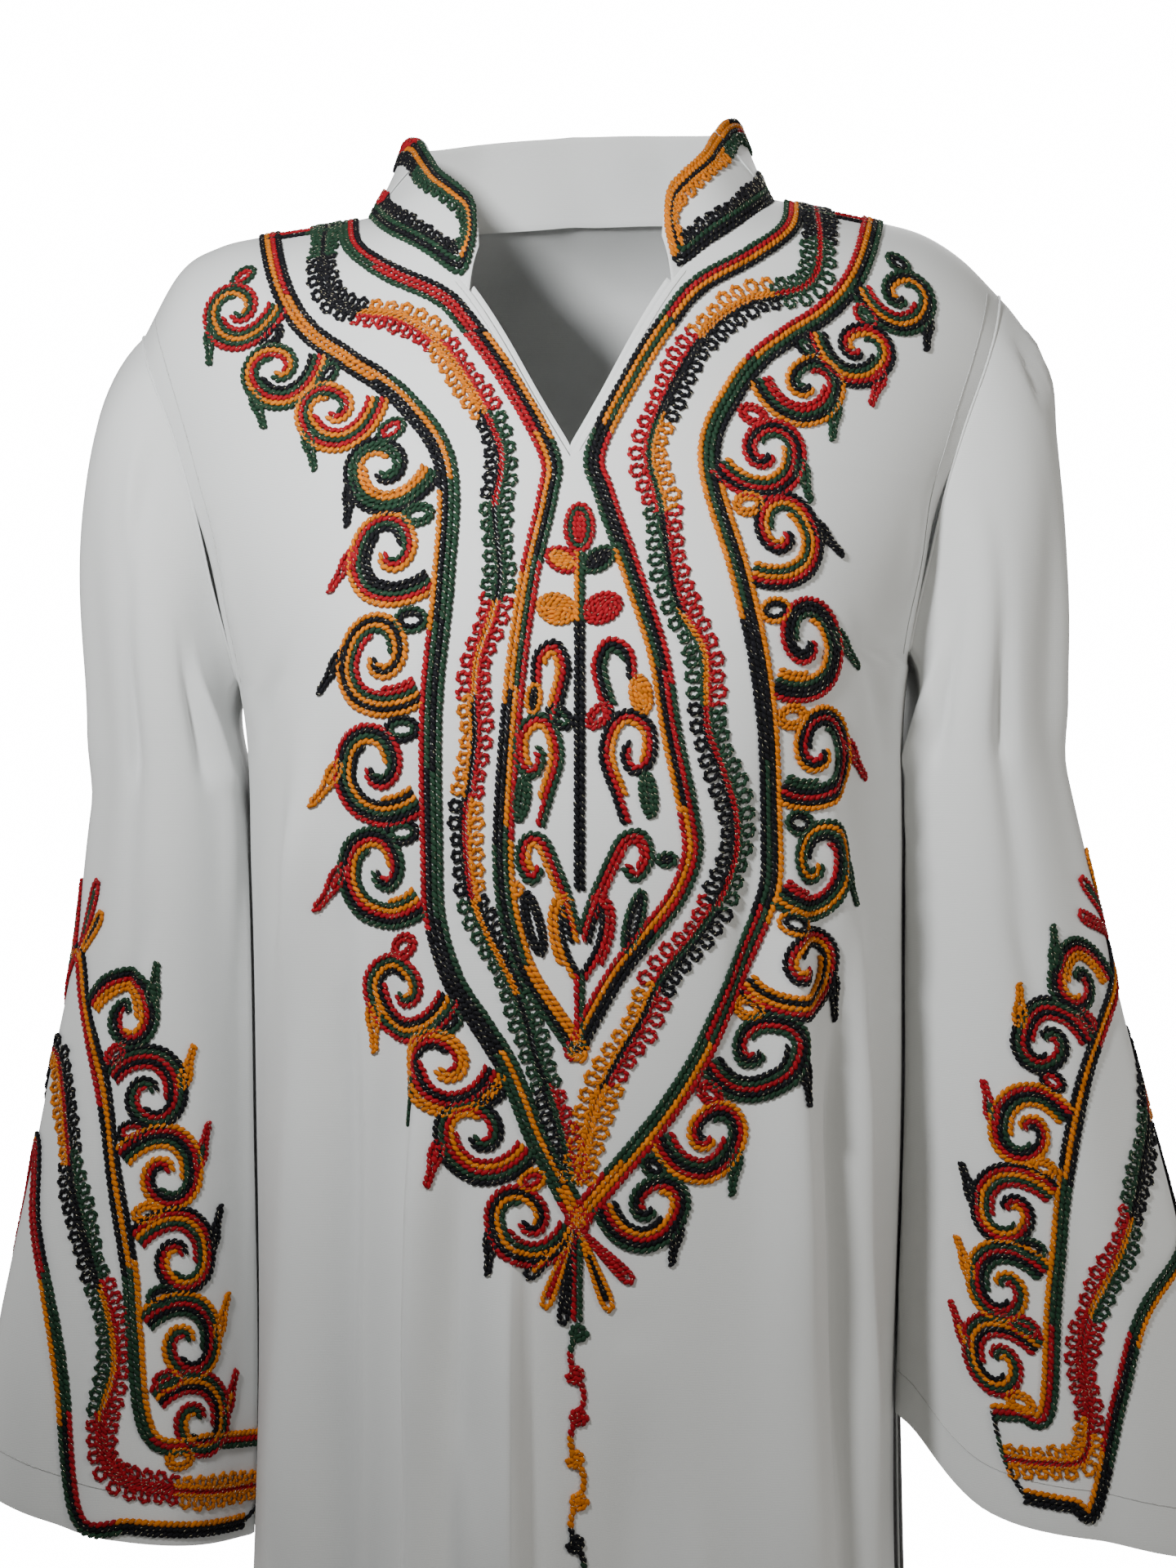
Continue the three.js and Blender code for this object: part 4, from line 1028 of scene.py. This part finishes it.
def chest_waves():
    work = Needlework()
    for side, dyes in ((-1, WAVE_DYES), (1, WAVE_DYES_LEFT)):
        line = smooth(chest_run(CHEST_WAVE, side), 10)
        loops = [dyes[k] for k in (("outer", "inner") if side < 0 else ("inner", "outer"))]
        wave(work, FRONT, line, dyes["middle"], *loops, reach=5.1 if side < 0 else 6.5, pitch=7.4)
    return work


def chest_scrolls(side):
    work = Needlework()
    line = chest_run(CHEST_BORDER, side)
    for at, size, *dyes in CHEST_SCROLLS:
        scroll(work, FRONT, spot_along(FRONT, line, at), side, 1, size, *dyes[side > 0].split())
    return work


PLANT_CENTRE = 4.5
RIGHT_HALF = 0.84  # width of the plant's right half over its left
# Leaves of the plant: out from the centre, drop, half sizes, colours and tilt.
PLANT_TOP = (
    (0, 180, 7.6, 12.5, "rgr", 0),
    (-8, 194, 9, 6.2, "ro", 32),
    (9, 194.5, 9, 6, "gk", -32),
    (-10.5, 216, 10, 7.6, "ooo", 24),
    (10.5, 216.5, 10, 7.6, "rrr", -24),
)
PLANT_BETWEEN = (
    (-9, 266, 8, 5, "kg", 42),
    (-21, 257, 4.2, 8, "ok", 6),
    (28, 257, 5.6, 10, "oo", -10),
    (9, 266, 8, 5.2, "rr", -48),
    (40, 333, 5.4, 4.2, "gk", 0),
    (-28, 345, 2.8, 4, "o", 0),
)
# Bands of the plant's left half: the line of each, then its widths.
HOOK = [(15, 268), (12, 256), (9.5, 243), (14, 234), (21.5, 238), (24, 250)], (6, 8, 8.5, 8.5, 7.5, 5)
HORN = (
    [(22, 316), (18, 302), (13, 285), (16, 272), (23, 267.5)]
    + [(31, 274), (31, 287), (24.5, 291), (21, 284), (24, 279)],
    (6, 7, 8.3, 8.6, 8.6, 8.4, 7.4, 6, 5, 4),
)
HEART = (
    [(1.5, 366), (8, 350), (15, 335), (21, 324), (28, 323), (31, 332), (26, 340), (21, 335)],
    (6, 8, 8.6, 8.6, 8.2, 7.4, 6.5, 5),
)
TULIP = (
    [(1.5, 386), (9, 376), (13, 365), (13, 355), (8.5, 350.5), (5.5, 358), (3, 370)],
    (5, 7.5, 8.5, 8.5, 7.5, 6, 5),
)
PLANT_DYES = {-1: ("kror", "groo", "groo", "koor"), 1: ("rkgo", "kroo", "grro", "krrg")}
STEM_ASIDE = 1.25


def chest_plant():
    """The plant inside the borders: a bud, leaves, hooks, horns, a heart and a tulip on one stem."""
    work = Needlework()

    def spots(side, rows):
        return [(PLANT_CENTRE + (out if side > 0 else -RIGHT_HALF * out), drop) for out, drop in rows]

    def leaves(rows):
        for out, drop, half, tall, dyes, tilt in rows:
            leaf(work, FRONT, (PLANT_CENTRE + out, drop), (half, tall), dyes, tilt)

    leaves(PLANT_TOP)
    for side, dyes in ((-1, "okr"), (1, "gkg")):
        x = PLANT_CENTRE + side * STEM_ASIDE
        for dye, top, foot in zip(dyes, (190, 222, 384), (222, 346, 415)):
            work.lay(FRONT, smooth([(x, top), (x, foot)]), dye)
    for side, dyes in PLANT_DYES.items():
        for (rows, widths), dye in zip((HOOK, HORN, HEART, TULIP), dyes):
            stroke(work, FRONT, spots(side, rows), widths, dye, flip=-side)
        leaf(work, FRONT, spots(side, [(25, 361)])[0], (5, 16), "kk" if side < 0 else "gk", side * 14)
        leaf(work, FRONT, spots(side, [(31.5, 303)])[0], (4.6, 11.5), "gg", side * -8)
    leaves(PLANT_BETWEEN)
    return work


CHAIN_TOP = 546
CHAIN_LINK = 19.6
CHAIN_DYES = "grrookgrokgrokkg"
FAN = (-24, 524, "ko"), (-16, 538, "or"), (-7, 546, "kk"), (16, 540, "ok"), (26, 527, "rr")


def chest_chain():
    """The fan at the foot of the borders and the chain of small curls down to the hem."""
    work = Needlework()
    for out, drop, dyes in FAN:
        blade(work, FRONT, (3 + out * 0.08, 503), (3 + out, drop), dyes, 7, PETAL)
    for offset, dye in ((-1.6, "r"), (1.4, "g")):
        work.lay(FRONT, smooth([(3.4 + offset, 500), (3.2 + offset, 545)]), dye, width=3)
    links = int((LENGTH - 24 - CHAIN_TOP) / CHAIN_LINK)
    for k in range(links):
        top = CHAIN_TOP + k * CHAIN_LINK
        hand = 1 if k % 2 else -1
        turn = np.linspace(0, 3.4 * np.pi, 30)
        grow = 4.4 - 3.6 * turn / turn[-1]
        curl = np.stack([3.2 - hand * (0.8 + grow * np.cos(turn)), top + 4 + grow * np.sin(turn)], -1)
        work.lay(FRONT, curl, CHAIN_DYES[k % 16], width=2.9, pitch=2.5)
        share = np.linspace(0, 1, 14)
        tail = np.stack([3.2 + hand * 3.4 * np.sin(np.pi * share), top + 5 + share * CHAIN_LINK], -1)
        work.lay(FRONT, tail, CHAIN_DYES[k % 16] + CHAIN_DYES[(k + 1) % 16], width=3.2)
    return work


SLEEVE_BORDER = table("right left drop", """
    32 16 378  46 36 404  67 66 442  84 83 494  96 92 540  101 97 574  111 103 627  138 112 629
    172 121 633
""")
SLEEVE_SECOND = table("right left drop", """
    30 12 478  44 30 522  61 62 564  73 76 610  84 89 672  105 96 672  128 104 672  153 112 672
""")
SLEEVE_WAVE = table("right left drop", """
    30 12 430  53 40 474  71 62 522  88 80 562  94 88 592  91 88 622  98 92 648  125 105 653
    168 118 656
""")
SLEEVE_SIZE = 0.78
SLEEVE_SCROLL_SIZE = 0.9
SLEEVE_SCROLLS = (
    (38, "gkroo", "rr", "g"),
    (76, "kgrkr", "kr", "o"),
    (117, "orkgo", "oo", "rg"),
    (158, "krogr", "gk", "k"),
    (198, "ogrkg", "rg", "o"),
    (236, "rgokr", "oo", "ro"),
)
# Leaves at the peak of the sleeve's borders: how far out and up their tips reach, and their colours.
SLEEVE_LEAVES = {
    -1: ((11, 36, "rg"), (20, 20, "ok")),
    1: ((13, 45, "ok"), (27, 31, "rg"), (35, 13, "rr")),
}
SLEEVE_DYES = {
    "border": ("kkggkkoo", "rkogoogr", "ookrrkgg"),
    "second": ("rgkkkgro", "kkgorgkk", "ogorrogk"),
    "middle": "orroorkorr",
    "outer": "kkorgkgrro",
    "inner": "gkrrkokgro",
}


def sleeve_run(rows, side, way):
    x = rows[SIDE[side]]
    return np.stack([x[0] + way * (x - x[0]), rows["drop"]], -1)


def sleeve_work(side):
    """Border, wave and second border pointing up the sleeve, with scrolls on the outer one."""
    work = Needlework()
    cloth = SLEEVES[side]
    outer, second, middle = (
        smooth(np.vstack([sleeve_run(rows, side, -1)[::-1], sleeve_run(rows, side, 1)[1:]]), 8)
        for rows in (SLEEVE_BORDER, SLEEVE_SECOND, SLEEVE_WAVE)
    )
    border(work, cloth, outer, SLEEVE_DYES["border"][::-1], BORDER_WIDTH * SLEEVE_SIZE)
    border(work, cloth, second, SLEEVE_DYES["second"][::-1], SECOND_WIDTH * SLEEVE_SIZE)
    wave(work, cloth, middle, *(SLEEVE_DYES[k] for k in ("middle", "inner", "outer")), reach=5.4, pitch=6.8)
    for end in (0, -1):
        close = np.array([outer[end], middle[end], second[end]])
        work.lay(cloth, smooth(close, 8), "kgk", width=1.9)
    for way in (-1, 1):
        run = sleeve_run(SLEEVE_BORDER, side, way)
        for at, *dyes in SLEEVE_SCROLLS:
            scroll(work, cloth, spot_along(cloth, run, at), way, -1, SLEEVE_SCROLL_SIZE, *dyes)
        for out, up, dyes in SLEEVE_LEAVES[side]:
            steps = np.array([[way * 2, 3], [way * out, -up]], float)
            start, end = cloth.walk(np.array([run[0], run[0]]), steps)
            blade(work, cloth, start, end, dyes, 8, PETAL)
    return work


COLLAR_DYES = ("grkokrgg", "krookgrk", "orrkgrog")


def collar_work():
    """Cords round the edge of the collar, with a looping cord inside them."""
    work = Needlework()
    across = np.linspace(0.9, COLLAR_COLUMNS - 0.9, 34)
    corners = [(0.42, 0.25), (0.42, 0.72)], [(COLLAR_COLUMNS - 0.42, 0.72), (COLLAR_COLUMNS - 0.42, 0.25)]
    top = [(c, 0.9) for c in across]
    foot = [(c, 0.1) for c in across[::-1]]
    line = smooth([*corners[0], *top, *corners[1], *foot], 5, closed=True)
    border(work, COLLAR_CLOTH, line, COLLAR_DYES, 8.7)
    lobes = curls(COLLAR_CLOTH, COLLAR_CLOTH.beside(line, -4.6), -1, base=0.6, pitch=6.8, reach=5.6)
    work.lay(COLLAR_CLOTH, lobes, "gkrrgokkgrrk", width=2.5, pitch=2.4)
    return work


# ---- Sewing ----
def dashes(work, cloth, line, pitch=3.0):
    work.lay(cloth, line, width=0.62, pitch=pitch, height=0.5, slant=0)


def tube(name, line, radius=0.55, sides=6):
    """A fine raised edge along a seam."""
    way = unit(np.gradient(line, axis=0))
    side = unit(np.cross(way, [0.31, 0.2, 0.93]))
    up = np.cross(side, way)
    turn = np.arange(sides) * 2 * np.pi / sides
    ring = side[:, None] * np.cos(turn)[None, :, None] + up[:, None] * np.sin(turn)[None, :, None]
    points = (line[:, None] + ring * radius).reshape(-1, 3)
    return make_mesh(name, points, grid_faces(len(line), sides, closed=True), CREPE, "crepe")


def seam_lines():
    """Side, shoulder and armhole seams."""
    levels = np.linspace(ARMPIT_DROP, LENGTH, 220)
    for side, name in SIDE.items():
        half = along(BODY, name, levels)
        edge = np.mean([body_point(face, side * half, levels) for face in (-1, 1)], 0)
        tube("seam_side_" + name, edge)
        out = np.linspace(NECK_HALF, SHOULDER_HALF, 50)
        ridge = np.mean([body_point(face, side * out, 0.0) for face in (-1, 1)], 0)
        tube("seam_shoulder_" + name, ridge)
        ring = edge_ring(side, 140)
        tube("seam_armhole_" + name, np.vstack([ring, ring[:1]]) + [side * 0.35, 0, 0], radius=0.7)


def sewing():
    """Rows of small stitches at the hems, beside the armholes and at the edge of the slit."""
    hems, top = Needlework(), Needlework()
    for cloth in BODY_CLOTH.values():
        level = LENGTH - 22
        half = [along(BODY, name, level) - 2 for name in ("right", "left")]
        turn = np.linspace(-np.pi / 2, np.pi / 2, 160)
        x = np.where(turn < 0, half[0], half[1]) * np.sin(turn)
        dashes(hems, cloth, np.stack([x, np.full(160, float(level))], -1))
    for side in (-1, 1):
        around = np.stack([np.linspace(0, 360, 200), np.full(200, SLEEVE_CUT[side]["drop"][-1] - 24)], -1)
        dashes(hems, SLEEVES[side], around, pitch=2.8)
        levels = np.linspace(12, ARMPIT_DROP - 6, 60)
        for face, cloth in BODY_CLOTH.items():
            x = side * (along(ARMHOLE[face], "at", levels) - 6.5)
            dashes(top, cloth, np.stack([x, levels], -1), pitch=2.8)
        edge = np.linspace(60, SLIT_DROP - 4, 40)
        x = side * (along(NECK_FRONT, "at", edge) + 2.2)
        dashes(top, FRONT, np.stack([x, edge + 1.2], -1), pitch=2.4)
    return hems, top


# ---- Camera, light and stage ----
CAMERA_AT = (0.0085, -1.2, -0.297)
LENS = 53
# Each lamp: its name, place and target in metres, width, power, colour and spread in degrees.
LAMPS = (
    ("key", (-0.42, -0.8, 0.2), (-0.02, -0.1, -0.12), 0.16, 2.75, (0.97, 0.99, 1.0), 80),
    ("fill", (0.9, -0.9, 0.1), (0.1, 0, -0.6), 0.5, 4, (1.0, 0.97, 0.9), 180),
    ("side", (-1.5, 0.25, -0.6), (-0.2, 0, -0.7), 1.1, 5, (1.0, 0.99, 0.96), 180),
    ("side", (1.5, 0.25, -0.6), (0.2, 0, -0.7), 1.1, 5, (1.0, 0.99, 0.96), 180),
    ("behind", (0.5, 2.2, 0.9), (0, 0, -0.5), 1.6, 62, (1.0, 1.0, 1.0), 180),
)
WORLD_COLOR = (1.0, 0.985, 0.9, 1)
WORLD_STRENGTH = 0.07
SURROUND_GLOW = 16.0
FLOOR_LEVEL = -1.47


def camera():
    data = bpy.data.cameras.new("camera")
    data.sensor_width = 36
    data.lens = LENS
    eye = bpy.data.objects.new("camera", data)
    eye.location = CAMERA_AT
    eye.rotation_euler = (math.pi / 2, 0, 0)
    bpy.context.scene.collection.objects.link(eye)
    bpy.context.scene.camera = eye


def lamp(name, place, target, size, power, color, spread):
    data = bpy.data.lights.new(name, "AREA")
    data.shape = "DISK"
    data.size = size
    data.energy = power
    data.color = color
    data.spread = math.radians(spread)
    light = bpy.data.objects.new(name, data)
    light.location = place
    light.visible_camera = False
    light.rotation_euler = (Vector(target) - Vector(place)).to_track_quat("-Z", "Y").to_euler()
    bpy.context.scene.collection.objects.link(light)


def stage():
    """Soft light from the upper front, a pale floor and a plain white surround that only the camera sees."""
    for row in LAMPS:
        lamp(*row)
    world = bpy.data.worlds.new("studio")
    world.use_nodes = True
    background = world.node_tree.nodes["Background"].inputs
    background["Color"].default_value = WORLD_COLOR
    background["Strength"].default_value = WORLD_STRENGTH
    bpy.context.scene.world = world
    bpy.ops.mesh.primitive_circle_add(vertices=96, radius=1.9, fill_type="NGON", location=(0, 0, FLOOR_LEVEL))
    floor = bpy.context.object
    floor.name = "floor"
    floor.data.materials.append(floor_finish())
    bpy.ops.mesh.primitive_uv_sphere_add(segments=48, ring_count=24, radius=14)
    surround = bpy.context.object
    surround.name = "surround"
    glow = {"Emission_Strength": SURROUND_GLOW, "Emission_Color": (1, 1, 1, 1), "Base_Color": (0, 0, 0, 1)}
    surround.data.materials.append(Finish("white_surround", **glow).material)
    for ray in ("diffuse", "glossy", "transmission", "shadow", "volume_scatter"):
        setattr(surround, "visible_" + ray, False)


# ---- The abaya ----
def main():
    camera()
    stage()

    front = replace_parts(panel("front_panel", -1, 88), "front")
    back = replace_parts(panel("back_panel", 1, 60), "back")
    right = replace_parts(sleeve("sleeve_right_cloth", -1), "sleeve_right")
    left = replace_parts(sleeve("sleeve_left_cloth", 1), "sleeve_left")
    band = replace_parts(collar("collar_band"), "collar")
    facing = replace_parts(neck_facing("neck_facing_cloth"), "neck_facing")

    seam_lines()
    hems, top = sewing()
    hems.make("hem_stitches", THREAD, "crepe", lift=0.3)
    top.make("top_stitches", THREAD, "crepe", lift=0.3)

    chest = [("borders", chest_borders()), ("waves", chest_waves()), ("chain", chest_chain())]
    chest += [("scrolls_right", chest_scrolls(-1)), ("scrolls_left", chest_scrolls(1))]
    for name, work in chest:
        piece = work.make("chest_" + name)
        work.make_glints("glints_" + name)
        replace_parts(piece, "cord_chest")
    for name, node, work in (
        ("plant", "cord_plant", chest_plant()),
        ("collar_cord", "cord_collar", collar_work()),
        ("sleeve_cord_right", "cord_sleeve_right", sleeve_work(-1)),
        ("sleeve_cord_left", "cord_sleeve_left", sleeve_work(1)),
    ):
        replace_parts(work.make(name), node)
        work.make_glints("glints_" + name)


main()
